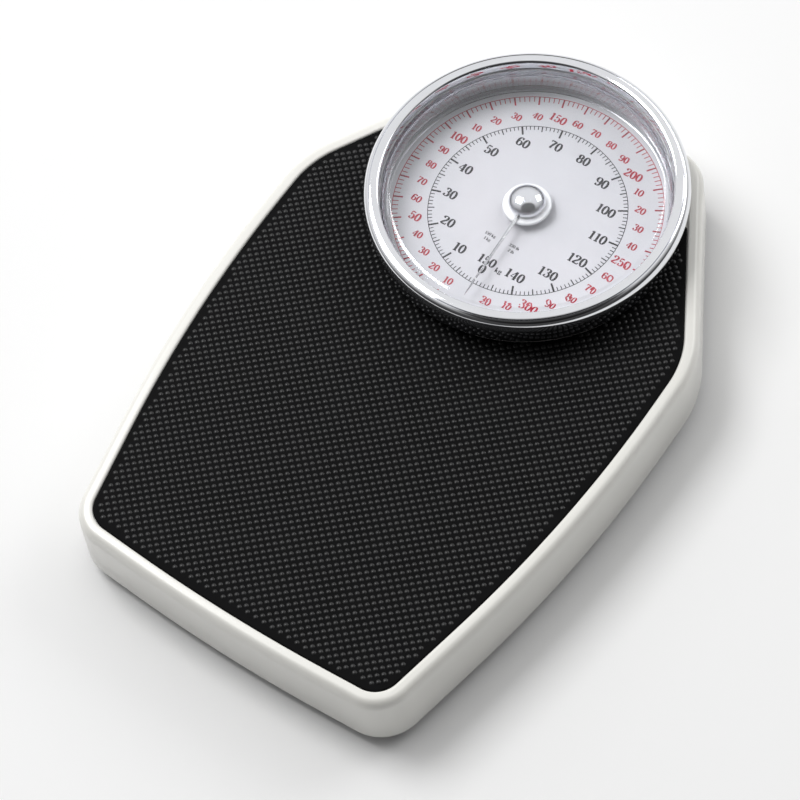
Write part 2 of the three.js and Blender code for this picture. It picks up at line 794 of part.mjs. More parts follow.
// Chrome ring: an inner lip, a groove, an outer roll and a skirt down to the mat.
function bezel() {
  const top = bezelTopZ;
  const lipUnder = lensTopZ - 3 + 2 * gap + 1.6;
  const skirtFoot = dialFaceZ + bezelSkirtRise;
  const skirtInner = housingRadius + 1.5;
  return turned([
    [bezelInnerRadius, lipUnder],
    [skirtInner, lipUnder],
    [skirtInner, skirtFoot],
    [bezelSkirtRadius, skirtFoot],
    [bezelSkirtRadius, top - 12.5],
    [bezelRadius - 0.5, top - 10],
    [bezelRadius, top - 7],
    [bezelRadius - 1, top - 3.6],
    [bezelRadius - 3.6, top - 1.4],
    [bezelRadius - 4.4, top - 2],
    [bezelRadius - 5.4, top - 0.3],
    [bezelRadius - 7, top],
    [bezelInnerRadius + 0.5, top - 3.4],
  ]);
}

// ---- Pointer ----
function pointerCollar() {
  const top = pointerZ - gap;
  return turned([
    [spindleRadius + gap, top - collarHeight],
    [collarRadius - 3, top - collarHeight],
    [collarRadius, top - 1],
    [collarRadius - 0.6, top],
    [spindleRadius + gap, top],
  ], 40);
}

function pointer() {
  const shape = new THREE.Shape();
  const eye = 8;
  shape.absarc(0, 0, eye, -Math.PI / 2 + 0.2, (3 * Math.PI) / 2 - 0.2, false);
  shape.lineTo(-0.5, -pointerLength + 3);
  shape.lineTo(0, -pointerLength);
  shape.lineTo(0.5, -pointerLength + 3);
  const bore = new THREE.Path();
  bore.absarc(0, 0, spindleRadius + gap, 0, 2 * Math.PI, true);
  shape.holes.push(bore);
  return extruded(shape, pointerThickness).rotateZ(pointerOffset).translate(0, 0, pointerZ);
}

function hubDome() {
  const bottom = spindleTopZ + gap;
  const rings = 7;
  const profile = [[0, bottom]];
  for (let k = 0; k <= rings; k++) {
    const angle = (k / rings) * (Math.PI / 2);
    const radius = k === rings ? 0 : domeRadius * Math.cos(angle);
    profile.push([radius, bottom + domeHeight * Math.sin(angle)]);
  }
  return turned(profile, 32);
}

// ---- Zero knob ----
function zeroKnob() {
  const shape = new THREE.Shape();
  const ribs = 24;
  for (let k = 0; k < ribs * 2; k++) {
    const angle = (k * Math.PI) / ribs;
    const radius = knobRadius - (k % 2) * 0.7;
    const move = k ? "lineTo" : "moveTo";
    shape[move](radius * Math.cos(angle), radius * Math.sin(angle));
  }
  const bore = new THREE.Path();
  bore.absarc(0, 0, shaftRadius + gap, 0, 2 * Math.PI, true);
  shape.holes.push(bore);
  const geometry = extruded(shape, knobThickness);
  return geometry.rotateX(-Math.PI / 2).translate(0, backReach - baseInset + 1, knobZ);
}

function zeroScrew() {
  const start = noseSpot.y + springMeanRadius + springWireRadius + 1.5 + sheet + gap;
  return barY(0, start, backReach - baseInset + knobThickness - 1, knobZ, shaftRadius);
}

function knobBracket() {
  const y = backReach - baseInset - 14;
  const bottom = plateTopZ + gap;
  const whole = joined(
    block(-9, 9, y, y + sheet, bottom, knobZ + 7),
    block(-9, 9, y - 10, y + sheet, bottom, bottom + sheet),
  );
  return cut(whole, barY(0, y - 1, y + sheet + 1, knobZ, shaftRadius + gap));
}

// ---- Assembly ----
add("base_plate", basePlate(), darkSteel);
for (const [end, y] of Object.entries(footY)) {
  for (const [side, name] of [[-1, "left"], [1, "right"]]) {
    const x = side * (halfWidthAt(y) - footMargin.side);
    add(`foot_${end}_${name}`, rubberFoot(x, y), blackRubber);
    add(`foot_screw_${end}_${name}`, footScrew(x, y), steel);
  }
}
add("head_bridge", headBridge(), steel);
for (const [end, y] of [["front", bridgeFrontY + 12], ["rear", bridgeBackY - 12]]) {
  for (const [side, name] of [[-1, "left"], [1, "right"]]) {
    add(`bridge_screw_${end}_${name}`, bridgeScrew(side * (bridgeHalfWidth + 7), y), steel);
  }
}
add("spindle_bush", spindleBush(), brass);
add("spindle_yoke", spindleYoke(), steel);
add("rack_guide", rackGuide(), steel);
add("crank_bracket", crankBracket(), steel);
add("crank_pin", crankPin(), steel);
add("spring_anchor", springAnchor(), steel);
add("knob_bracket", knobBracket(), steel);
add("dial_housing", dialHousing(), steel);
add("dial_plate", dialPlate(), dialWhite);
add("lens_seal", lensSeal(), blackRubber);
add("lens", lens(), clear);
add("bezel", bezel(), chrome);

for (const [side, name] of [[-1, "left"], [1, "right"]]) {
  add("fulcrum_post_front_" + name, fulcrumPost(side * longPost.x, longPost.y), steel);
  add("fulcrum_post_rear_" + name, fulcrumPost(side * shortPost.x, shortPost.y), steel);
  add("long_lever_" + name, longLever(side), darkSteel);
  add("short_lever_" + name, shortLever(side), darkSteel);
  const frontLoad = alongLong(side, longPost.y + longLoadArm);
  const rearLoad = alongShort(side, shortPost.y - shortLoadArm);
  add("knife_bracket_front_" + name, knifeBracket(frontLoad.x, frontLoad.y), steel);
  add("knife_bracket_rear_" + name, knifeBracket(rearLoad.x, rearLoad.y), steel);
}
add("platform_cover", platformCover(), enamel);
add("rubber_mat", rubberMat(), blackRubber);
add("deck_stiffener", deckStiffener(), steel);

add("nose_plate", nosePlate(), steel);
add("main_spring", mainSpring(), steel);
add("bell_crank", bellCrank(), steel);
add("rack", rack(), brass);
add("pinion", pinion(), brass);
add("spindle", spindle(), steel);
add("pointer_collar", pointerCollar(), whitePlastic);
add("pointer", pointer(), steel);
add("hub_dome", hubDome(), chrome);
add("zero_knob", zeroKnob(), blackPlastic);
add("zero_screw", zeroScrew(), steel);

export default part;
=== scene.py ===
import math
import bmesh
import bpy
from mathutils import Matrix, Vector


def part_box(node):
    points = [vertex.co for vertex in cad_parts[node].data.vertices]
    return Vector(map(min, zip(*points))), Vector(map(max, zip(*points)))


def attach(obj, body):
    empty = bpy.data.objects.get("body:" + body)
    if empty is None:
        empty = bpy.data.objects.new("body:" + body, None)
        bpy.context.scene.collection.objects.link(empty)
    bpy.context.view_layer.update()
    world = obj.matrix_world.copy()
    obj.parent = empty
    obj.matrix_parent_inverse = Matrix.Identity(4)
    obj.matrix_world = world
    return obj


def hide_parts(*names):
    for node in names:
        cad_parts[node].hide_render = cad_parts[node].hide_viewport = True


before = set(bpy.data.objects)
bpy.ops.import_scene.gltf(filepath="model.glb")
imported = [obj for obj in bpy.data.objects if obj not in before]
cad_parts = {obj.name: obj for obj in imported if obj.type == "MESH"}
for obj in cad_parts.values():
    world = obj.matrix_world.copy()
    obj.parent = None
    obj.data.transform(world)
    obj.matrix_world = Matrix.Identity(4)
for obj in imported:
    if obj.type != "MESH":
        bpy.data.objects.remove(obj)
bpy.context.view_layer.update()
mm = 0.001

# Places that everything else is worked out from
dialLow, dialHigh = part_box("dial_plate")
coverLow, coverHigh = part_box("platform_cover")
housingLow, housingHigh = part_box("dial_housing")
headY = (dialLow.y + dialHigh.y) / 2  # the dial's axis
faceZ = dialHigh.z  # the dial's printed face
headAxis = Vector((0, headY, 0))
kgRing = 66 * mm  # radius of the kilogram ring, which the dial's layout is drawn from
print("frame loaded, dial axis at y", round(headY, 4))


def joinUp(tree, *pairs):
    for source, target in pairs:
        tree.links.new(source, target)


def preset(node, values):
    for label, value in values.items():
        node.inputs[label].default_value = value


# A new object in the scene, that rides on nothing yet
def looseObject(name, data):
    piece = bpy.data.objects.new(name, data)
    bpy.context.scene.collection.objects.link(piece)
    return piece


def newMaterial(name):
    material = bpy.data.materials.new(name)
    material.use_nodes = True
    nodes = material.node_tree.nodes
    return material, nodes, nodes["Principled BSDF"]


cameraView = {  # angles in degrees, the lens in millimetres, the rest in metres
    "azimuth": 43.456,
    "elevation": 61.476,
    "roll": -10.224,
    "distance": 1.5358,
    "lens": 104.8,
    "aimFromDial": (-0.0106, -0.1415, -0.0519),
}


def makeCamera():
    a = math.radians(cameraView["azimuth"])
    e = math.radians(cameraView["elevation"])
    roll = math.radians(cameraView["roll"])
    back = Vector((math.sin(a) * math.cos(e), -math.cos(a) * math.cos(e), math.sin(e)))
    level = Vector((math.cos(a), math.sin(a), 0))
    upright = back.cross(level)
    right = level * math.cos(roll) + upright * math.sin(roll)
    up = upright * math.cos(roll) - level * math.sin(roll)
    aim = Vector((0, headY, faceZ)) + Vector(cameraView["aimFromDial"])
    camera = looseObject("camera", bpy.data.cameras.new("camera"))
    camera.data.lens = cameraView["lens"]
    camera.data.sensor_width = 36
    turn = Matrix((right, up, back)).transposed()
    camera.matrix_world = Matrix.Translation(aim + back * cameraView["distance"]) @ turn.to_4x4()
    bpy.context.scene.camera = camera


studio = {
    "floorColour": (0.95, 0.95, 0.95, 1),
    "floorHalf": 40.0,
    "floorRough": 0.9,
    "skySpan": (-0.15, 0.8),  # from dim to bright along brightWay
    "hoodSpan": (0.8, 0.9),  # from open sky to hood along hoodWay
    "brightWay": (-0.45, 0.55, 0.7),  # the sky is brightest this way
    "hoodWay": (0.33, -0.35, 0.88),  # and has a dark hood this way
    "hoodShade": 0.1,
    "skyBright": 0.88,
    "skyDim": 0.06,
    "lamps": [  # name, place, aim, size, watts
        ("keyBox", (-1.6, 0.1, 2.6), (0, 0.05, 0.05), 1.3, 46),
        ("backBox", (0.9, 2.2, 1.8), (0, 0.05, 0.05), 1.2, 14),
    ],
}


def makeStudio():
    half = studio["floorHalf"]
    mesh = bpy.data.meshes.new("floor")
    square = [(-half, -half, 0), (half, -half, 0), (half, half, 0), (-half, half, 0)]
    mesh.from_pydata(square, [], [(0, 1, 2, 3)])
    floor = looseObject("floor", mesh)
    material, _, shader = newMaterial("paleFloor")
    preset(shader, {"Base Color": studio["floorColour"], "Roughness": studio["floorRough"]})
    mesh.materials.append(material)

    world = bpy.data.worlds.new("studioSky")
    world.use_nodes = True
    nodes, links = world.node_tree.nodes, world.node_tree.links
    where = nodes.new("ShaderNodeTexCoord")
    nodes["Background"].inputs["Color"].default_value = (1, 1, 1, 1)

    def ramp(way, span, fromShade, toShade):  # a shade that changes along one way
        along = nodes.new("ShaderNodeVectorMath")
        along.operation = "DOT_PRODUCT"
        along.inputs[1].default_value = way
        shade = nodes.new("ShaderNodeMapRange")
        shade.interpolation_type = "SMOOTHSTEP"
        preset(shade, {
            "From Min": span[0], "From Max": span[1], "To Min": fromShade, "To Max": toShade})
        links.new(where.outputs["Generated"], along.inputs[0])
        links.new(along.outputs["Value"], shade.inputs["Value"])
        return shade.outputs[0]

    shaded = nodes.new("ShaderNodeMath")
    shaded.operation = "MULTIPLY"
    sky = ramp(studio["brightWay"], studio["skySpan"], studio["skyDim"], studio["skyBright"])
    hood = ramp(studio["hoodWay"], studio["hoodSpan"], 1.0, studio["hoodShade"])
    links.new(sky, shaded.inputs[0])
    links.new(hood, shaded.inputs[1])
    links.new(shaded.outputs[0], nodes["Background"].inputs["Strength"])
    bpy.context.scene.world = world

    for name, place, aim, size, watts in studio["lamps"]:
        lamp = looseObject(name, bpy.data.lights.new(name, "AREA"))
        lamp.data.shape = "RECTANGLE"
        lamp.data.size = size
        lamp.data.size_y = size
        lamp.data.energy = watts
        lamp.location = place
        lamp.rotation_mode = "QUATERNION"
        lamp.rotation_quaternion = (Vector(aim) - Vector(place)).to_track_quat("-Z", "Y")
    bpy.context.scene.view_settings.view_transform = "Standard"


makeCamera()
makeStudio()
print("camera and studio ready")


# A shader group that several finishes share, with its start and end
def newGroup(name, inputs, outputs):
    group = bpy.data.node_groups.new(name, "ShaderNodeTree")
    for label, kind, value in inputs:
        socket = group.interface.new_socket(label, in_out="INPUT", socket_type=kind)
        socket.default_value = value
    for label, kind in outputs:
        group.interface.new_socket(label, in_out="OUTPUT", socket_type=kind)
    start = group.nodes.new("NodeGroupInput")
    end = group.nodes.new("NodeGroupOutput")
    return group, start, end


# Cloudy change between two tones, for colour and for roughness
def makeMottle():
    group, start, end = newGroup(
        "mottle",
        [("Scale", "NodeSocketFloat", 40.0), ("Tone A", "NodeSocketColor", (1, 1, 1, 1)),
         ("Tone B", "NodeSocketColor", (1, 1, 1, 1)), ("Rough A", "NodeSocketFloat", 0.3),
         ("Rough B", "NodeSocketFloat", 0.5)],
        [("Color", "NodeSocketColor"), ("Roughness", "NodeSocketFloat")])
    where = group.nodes.new("ShaderNodeTexCoord")
    noise = group.nodes.new("ShaderNodeTexNoise")
    noise.inputs["Detail"].default_value = 5
    spread = group.nodes.new("ShaderNodeMapRange")
    preset(spread, {"From Min": 0.3, "From Max": 0.7})
    tone = group.nodes.new("ShaderNodeMix")
    tone.data_type = "RGBA"
    rough = group.nodes.new("ShaderNodeMix")
    given = start.outputs
    joinUp(
        group,
        (where.outputs["Object"], noise.inputs["Vector"]), (given["Scale"], noise.inputs["Scale"]),
        (noise.outputs[0], spread.inputs["Value"]), (spread.outputs[0], tone.inputs[0]),
        (given["Tone A"], tone.inputs[6]), (given["Tone B"], tone.inputs[7]),
        (spread.outputs[0], rough.inputs[0]),
        (given["Rough A"], rough.inputs[2]), (given["Rough B"], rough.inputs[3]),
        (tone.outputs[2], end.inputs["Color"]), (rough.outputs[0], end.inputs["Roughness"]))
    return group


# Fine surface relief: pebbly grain plus long scratches along one direction
def makeRelief():
    group, start, end = newGroup(
        "relief",
        [("Grain Scale", "NodeSocketFloat", 900.0), ("Scratch", "NodeSocketFloat", 0.0),
         ("Scratch Stretch", "NodeSocketVector", (1, 40, 40))],
        [("Height", "NodeSocketFloat")])
    where = group.nodes.new("ShaderNodeTexCoord")
    grain = group.nodes.new("ShaderNodeTexNoise")
    grain.inputs["Detail"].default_value = 3
    stretch = group.nodes.new("ShaderNodeVectorMath")
    stretch.operation = "MULTIPLY"
    lines = group.nodes.new("ShaderNodeTexNoise")
    lines.inputs["Scale"].default_value = 60
    share = group.nodes.new("ShaderNodeMath")
    share.operation = "MULTIPLY"
    total = group.nodes.new("ShaderNodeMath")
    total.operation = "ADD"
    given = start.outputs
    joinUp(
        group,
        (where.outputs["Object"], grain.inputs["Vector"]), (given["Grain Scale"], grain.inputs["Scale"]),
        (where.outputs["Object"], stretch.inputs[0]), (given["Scratch Stretch"], stretch.inputs[1]),
        (stretch.outputs[0], lines.inputs["Vector"]),
        (lines.outputs[0], share.inputs[0]), (given["Scratch"], share.inputs[1]),
        (grain.outputs[0], total.inputs[0]), (share.outputs[0], total.inputs[1]),
        (total.outputs[0], end.inputs["Height"]))
    return group


mottle = makeMottle()
relief = makeRelief()


# A finish: two near tones and two near roughnesses clouded together, and a fine relief
def makeFinish(name, toneA, toneB, rough, metallic=0.0, cloud=30.0, grain=900.0, scratch=0.0,
               stretch=(1, 40, 40), bump=0.05, depth=0.0002, **fixed):
    material, nodes, shader = newMaterial(name)
    clouds = nodes.new("ShaderNodeGroup")
    clouds.node_tree = mottle
    preset(clouds, {
        "Scale": cloud, "Tone A": (*toneA, 1), "Tone B": (*toneB, 1),
        "Rough A": rough[0], "Rough B": rough[1]})
    surface = nodes.new("ShaderNodeGroup")
    surface.node_tree = relief
    preset(surface, {"Grain Scale": grain, "Scratch": scratch, "Scratch Stretch": stretch})
    lift = nodes.new("ShaderNodeBump")
    preset(lift, {"Strength": bump, "Distance": depth})
    joinUp(
        material.node_tree,
        (clouds.outputs["Color"], shader.inputs["Base Color"]),
        (clouds.outputs["Roughness"], shader.inputs["Roughness"]),
        (surface.outputs["Height"], lift.inputs["Height"]),
        (lift.outputs["Normal"], shader.inputs["Normal"]))
    shader.inputs["Metallic"].default_value = metallic
    preset(shader, {label.replace("_", " "): value for label, value in fixed.items()})
    return material


coverEnamel = makeFinish("coverEnamel", (0.83, 0.82, 0.775), (0.845, 0.837, 0.795), (0.3, 0.36),
                         cloud=14, grain=1500, bump=0.06, Coat_Weight=0.25, Coat_Roughness=0.15)
matRubber = makeFinish("matRubber", (0.0045, 0.0045, 0.0048), (0.007, 0.007, 0.0074), (0.6, 0.7),
                       cloud=60, grain=2600, bump=0.25, Specular_IOR_Level=0.04)
# The dots are the sheet's own rubber with a lighter tone: a painted highlight on the domes, besides their
# real higher gloss
dotRubberLitTone = makeFinish("dotRubberLitTone", (0.0075, 0.0075, 0.0079), (0.0115, 0.0115, 0.012), (0.34, 0.42),
                       cloud=60, grain=2600, bump=0.1, Specular_IOR_Level=0.42)
chromePlate = makeFinish("chromePlate", (0.80, 0.81, 0.84), (0.83, 0.84, 0.87), (0.03, 0.07),
                         metallic=1.0, cloud=50, grain=700, bump=0.008)
dialLacquer = makeFinish("dialLacquer", (0.475, 0.48, 0.51), (0.505, 0.5, 0.53), (0.45, 0.55),
                         cloud=16, grain=4000, bump=0.03, Specular_IOR_Level=0.2)
blackInk = makeFinish("blackInk", (0.008, 0.008, 0.012), (0.014, 0.014, 0.018), (0.5, 0.6), cloud=300,
                      Specular_IOR_Level=0.1)
redInk = makeFinish("redInk", (0.3, 0.012, 0.028), (0.36, 0.02, 0.04), (0.5, 0.6), cloud=300,
                    Specular_IOR_Level=0.1)
pointerSteel = makeFinish("pointerSteel", (0.62, 0.63, 0.65), (0.68, 0.69, 0.7), (0.2, 0.3),
                          metallic=1.0, cloud=200, scratch=0.6, bump=0.04)
paleCollar = makeFinish("paleCollar", (0.72, 0.73, 0.75), (0.76, 0.77, 0.79), (0.2, 0.3), cloud=120)
brightCan = makeFinish("brightCan", (0.62, 0.63, 0.66), (0.68, 0.69, 0.72), (0.12, 0.2),
                       metallic=1.0, cloud=40, scratch=0.5, stretch=(30, 30, 1), bump=0.03)
plainSteel = makeFinish("plainSteel", (0.42, 0.43, 0.44), (0.55, 0.56, 0.56), (0.3, 0.45),
                        metallic=0.9, cloud=60, scratch=0.6, bump=0.06)
greyPaint = makeFinish("greyPaint", (0.2, 0.205, 0.21), (0.24, 0.245, 0.25), (0.45, 0.6),
                       metallic=0.2, cloud=24, grain=1200, bump=0.12)
brassWork = makeFinish("brassWork", (0.62, 0.44, 0.18), (0.7, 0.52, 0.24), (0.22, 0.34),
                       metallic=1.0, cloud=120, scratch=0.7, bump=0.05)
footRubber = makeFinish("footRubber", (0.016, 0.016, 0.016), (0.03, 0.03, 0.03), (0.6, 0.8),
                        cloud=90, grain=1800, bump=0.2)
knobPlastic = makeFinish("knobPlastic", (0.02, 0.02, 0.021), (0.028, 0.028, 0.03), (0.35, 0.5),
                         cloud=80, grain=2200, bump=0.1)


clear = {
    "tint": (0.985, 0.99, 1.0, 1),
    "index": 1.49,
    "hazeScale": 25,
    "hazeMost": 0.012,  # roughness where the haze is thickest
    "rippleScale": 45,
    "rippleStrength": 0.03,
    "rippleDepth": 0.4 * mm,
}


# Clear moulded plastic, faintly hazed and rippled; lamps shine through it onto the dial
def makeClear():
    material, nodes, shader = newMaterial("clearCup")
    shader.inputs["Base Color"].default_value = clear["tint"]
    shader.inputs["Transmission Weight"].default_value = 1.0
    shader.inputs["IOR"].default_value = clear["index"]
    haze = nodes.new("ShaderNodeGroup")
    haze.node_tree = mottle
    preset(haze, {"Scale": clear["hazeScale"], "Rough A": 0.0, "Rough B": clear["hazeMost"]})
    ripple = nodes.new("ShaderNodeGroup")
    ripple.node_tree = relief
    ripple.inputs["Grain Scale"].default_value = clear["rippleScale"]
    lift = nodes.new("ShaderNodeBump")
    preset(lift, {"Strength": clear["rippleStrength"], "Distance": clear["rippleDepth"]})
    passing = nodes.new("ShaderNodeBsdfTransparent")
    rays = nodes.new("ShaderNodeLightPath")
    blend = nodes.new("ShaderNodeMixShader")
    joinUp(
        material.node_tree,
        (haze.outputs["Roughness"], shader.inputs["Roughness"]),
        (ripple.outputs["Height"], lift.inputs["Height"]),
        (lift.outputs["Normal"], shader.inputs["Normal"]),
        (rays.outputs["Is Shadow Ray"], blend.inputs[0]), (shader.outputs[0], blend.inputs[1]),
        (passing.outputs[0], blend.inputs[2]),
        (blend.outputs[0], nodes["Material Output"].inputs["Surface"]))
    return material


clearCup = makeClear()
print("finishes ready")


# Walls between each ring of vertices and the next
def wallUp(work, rings):
    for lower, upper in zip(rings, rings[1:]):
        for k in range(len(lower)):
            n = (k + 1) % len(lower)
            work.faces.new((lower[k], lower[n], upper[n], upper[k]))


def capEnds(work, rings):
    work.faces.new(list(reversed(rings[0])))
    work.faces.new(rings[-1])


def meshFrom(name, work, sharp=35):
    bmesh.ops.recalc_face_normals(work, faces=work.faces)
    mesh = bpy.data.meshes.new(name)
    work.to_mesh(mesh)
    work.free()
    smoothByAngle(mesh, sharp)
    return mesh


def smoothByAngle(mesh, sharp):
    mesh.polygons.foreach_set("use_smooth", [True] * len(mesh.polygons))
    mesh.set_sharp_from_angle(angle=math.radians(sharp))


def addPiece(name, mesh, material, body):
    piece = looseObject(name, mesh)
    mesh.materials.clear()
    mesh.materials.append(material)
    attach(piece, body)
    return piece


# The object's finished shape as a plain mesh, with its modifiers done
def settled(piece):
    graph = bpy.context.evaluated_depsgraph_get()
    mesh = bpy.data.meshes.new_from_object(piece.evaluated_get(graph), depsgraph=graph)
    bpy.data.objects.remove(piece)
    return mesh


# Cuts tools away from a solid, all of them meshes
def carved(mesh, *tools):
    piece = looseObject("carving", mesh)
    cutters = [looseObject("cutter", tool) for tool in tools]
    for cutter in cutters:
        step = piece.modifiers.new("cut", "BOOLEAN")
        step.operation = "DIFFERENCE"
        step.solver = "EXACT"
        step.object = cutter
    result = settled(piece)
    for cutter in cutters:
        bpy.data.objects.remove(cutter)
    return result


def arc(centreR, centreZ, radius, fromDeg, toDeg, steps, flatten=1.0):
    points = []
    for k in range(steps + 1):
        a = math.radians(fromDeg + (toDeg - fromDeg) * k / steps)
        points.append((centreR + radius * math.cos(a), centreZ + radius * flatten * math.sin(a)))
    return points


# A body turned about an upright axis at (x, y) from [radius, height] points; closed at its poles
def turned(name, profile, sides=160, centre=None, sharp=35):
    cx, cy = (0, headY) if centre is None else centre
    work = bmesh.new()
    rings = []
    for radius, z in profile:
        if radius < 1e-7:
            rings.append([work.verts.new((cx, cy, z))])
            continue
        ring = []
        for k in range(sides):
            a = 2 * math.pi * k / sides
            ring.append(work.verts.new((cx + radius * math.cos(a), cy + radius * math.sin(a), z)))
        rings.append(ring)
    for i, lower in enumerate(rings):
        upper = rings[(i + 1) % len(rings)]
        if len(lower) == 1 and len(upper) == 1:
            continue
        for k in range(sides):
            n = (k + 1) % sides
            if len(lower) == 1:
                work.faces.new((lower[0], upper[k], upper[n]))
            elif len(upper) == 1:
                work.faces.new((lower[k], lower[n], upper[0]))
            else:
                work.faces.new((lower[k], lower[n], upper[n], upper[k]))
    return meshFrom(name, work, sharp)


def turnedMm(name, profile, sides=160, centre=None, sharp=35):
    return turned(name, [(r * mm, z * mm) for r, z in profile], sides, centre, sharp)


# Radius, foot and top, in millimetres, of the box round an upright round node
def roundSize(low, high):
    return (high.x - low.x) / 2 / mm, low.z / mm, high.z / mm


def column(radius, z0, z1, sides=160):
    return turned("column", [(0, z0), (radius, z0), (radius, z1), (0, z1)], sides)


def brick(x0, x1, y0, y1, z0, z1):
    work = bmesh.new()
    bmesh.ops.create_cube(work, size=1)
    bmesh.ops.scale(work, vec=(x1 - x0, y1 - y0, z1 - z0), verts=work.verts)
    bmesh.ops.translate(work, vec=((x0 + x1) / 2, (y0 + y1) / 2, (z0 + z1) / 2), verts=work.verts)
    return meshFrom("brick", work)


# The platform's outline is straight lines with rounded corners
plan = {  # millimetres, from the dial's axis
    "shoulderWidth": 312,
    "frontWidth": 241,
    "backWidth": 158,
    "sideBendY": -178,
    "shoulderY": -41,
    "frontBow": 7,
    "wallFlare": 2.4,
    "frontMiddle": (1270, 10),  # radius, steps
    "front": (28, 14),
    "sideBend": (930, 16),
    "shoulder": (80, 12),
    "back": (30, 12),
}
frontReach = (headY - coverLow.y) / mm
backReach = (coverHigh.y - headY) / mm - plan["wallFlare"]


def planCorners():
    halfFront = plan["frontWidth"] / 2
    frontY = -(frontReach - plan["wallFlare"])
    slope = math.atan2(plan["frontBow"], halfFront)
    meetingY = frontY - plan["frontMiddle"][0] * (1 / math.cos(slope) - 1)
    right = [
        (halfFront, meetingY + plan["frontBow"], plan["front"]),
        (plan["shoulderWidth"] / 2, plan["sideBendY"], plan["sideBend"]),
        (plan["shoulderWidth"] / 2, plan["shoulderY"], plan["shoulder"]),
        (plan["backWidth"] / 2, backReach, plan["back"]),
    ]
    left = [(-x, y, corner) for x, y, corner in reversed(right)]
    return [(0, meetingY, plan["frontMiddle"]), *right, *left]


# Points along the outline, every line moved inwards by a distance in millimetres
def outline(inset):
    bends = planCorners()
    count = len(bends)
    lines = []
    for i, (x, y, _) in enumerate(bends):
        along = Vector((bends[(i + 1) % count][0] - x, bends[(i + 1) % count][1] - y)).normalized()
        lines.append((Vector((x - along.y * inset, y + along.x * inset)), along))
    points = []
    for i, (_, _, (radius, steps)) in enumerate(bends):
        (a, before), (b, after) = lines[i - 1], lines[i]
        cross = before.cross(after)
        corner = a + before * ((b - a).cross(after) / cross)
        turn = math.atan2(cross, before.dot(after))
        radius = max(radius - inset, 1)
        start = corner - before * radius * math.tan(turn / 2)
        centre = start + Vector((-before.y, before.x)) * radius
        for k in range(steps + 1):
            spoke = Matrix.Rotation(turn * k / steps, 2) @ (start - centre)
            points.append(centre + spoke)
    return points


# A closed solid from [inset, height] levels in millimetres, lowest first
def stacked(name, levels, sharp=35):
    work = bmesh.new()
    rings = []
    for inset, z in levels:
        rings.append([work.verts.new((p.x * mm, headY + p.y * mm, z * mm)) for p in outline(inset)])
    wallUp(work, rings)
    capEnds(work, rings)
    return meshFrom(name, work, sharp)


cover = {  # millimetres
    "wall": 2.0,
    "deckTop": 53.5,
    "deckUnder": 51.5,
    "rimWidth": 10.0,
    "rollIn": 5.6,  # how far in the outer roll reaches the rim's top
    "rollDown": 8.1,
    "innerRound": 1.7,
    "underRound": (3, 4),  # half axes of the bend inside the wall's top
    "headHole": 54.2,
    "headGap": 1.5,
    "notchHalf": 13.0,
    "notchTop": 39.0,
}
housingRadius = (housingHigh.x - housingLow.x) / 2 / mm
headRoom = housingRadius + cover["headGap"]


def makeCover():
    foot, top = coverLow.z / mm, coverHigh.z / mm
    flare, wall = plan["wallFlare"], cover["wall"]
    rollFoot = top - cover["rollDown"]
    outside = [(0.7 - flare, foot), (0.2 - flare, foot + 0.3), (-flare, foot + 0.9)]
    roll, drop = cover["rollIn"], cover["rollDown"]
    outside += arc(roll, rollFoot, roll, 180, 90, 12, drop / roll)
    inside = [(wall - flare - 0.4, foot - 1), (wall - flare, foot + 0.6)]
    wide, tall = cover["underRound"]
    inside += arc(wall + wide, cover["deckUnder"] - tall, wide, 180, 90, 6, tall / wide)
    rim, r = cover["rimWidth"], cover["innerRound"]
    well = [(rim, cover["deckTop"]), *arc(rim - r, top - r, r, 0, 90, 8), (rim - r, top + 1)]
    mesh = carved(
        stacked("outside", outside),
        stacked("inside", inside),
        stacked("well", well),
        column(cover["headHole"] * mm, foot * mm, (top + 2) * mm),
        column(headRoom * mm, cover["deckTop"] * mm, (top + 2) * mm),
        brick(-cover["notchHalf"] * mm, cover["notchHalf"] * mm, headY + (backReach - 8) * mm,
              headY + (backReach + 8) * mm, -0.001, cover["notchTop"] * mm))
    mesh.name = "enamel_cover"
    smoothByAngle(mesh, 30)
    piece = addPiece("enamel_cover", mesh, coverEnamel, "platform")
    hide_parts("platform_cover")


makeCover()
print("cover ready")


# A geometry tree with its own inputs, and its start and end
def newTree(name, inputs):
    tree = bpy.data.node_groups.new(name, "GeometryNodeTree")
    tree.interface.new_socket("Geometry", in_out="INPUT", socket_type="NodeSocketGeometry")
    for label, kind in inputs:
        tree.interface.new_socket(label, in_out="INPUT", socket_type=kind)
    tree.interface.new_socket("Geometry", in_out="OUTPUT", socket_type="NodeSocketGeometry")
    return tree, tree.nodes.new("NodeGroupInput"), tree.nodes.new("NodeGroupOutput")


# Ends a tree: its instances made real and given the Finish
def endTree(tree, instances, start, end):
    real = tree.nodes.new("GeometryNodeRealizeInstances")
    paint = tree.nodes.new("GeometryNodeSetMaterial")
    joinUp(
        tree,
        (instances, real.inputs[0]), (real.outputs[0], paint.inputs["Geometry"]),
        (start.outputs["Finish"], paint.inputs["Material"]), (paint.outputs[0], end.inputs[0]))


# Runs a tree on a mesh with named values and returns a plain mesh
def grown(tree, name, mesh, values):
    piece = looseObject(name, mesh)
    step = piece.modifiers.new("grow", "NODES")
    step.node_group = tree
    for item in tree.interface.items_tree:
        if item.in_out == "INPUT" and item.name in values:
            step[item.identifier] = values[item.name]
    result = settled(piece)
    result.name = name
    return result


def pointMesh(name, places):
    mesh = bpy.data.meshes.new(name)
    mesh.from_pydata(places, [], [])
    return mesh


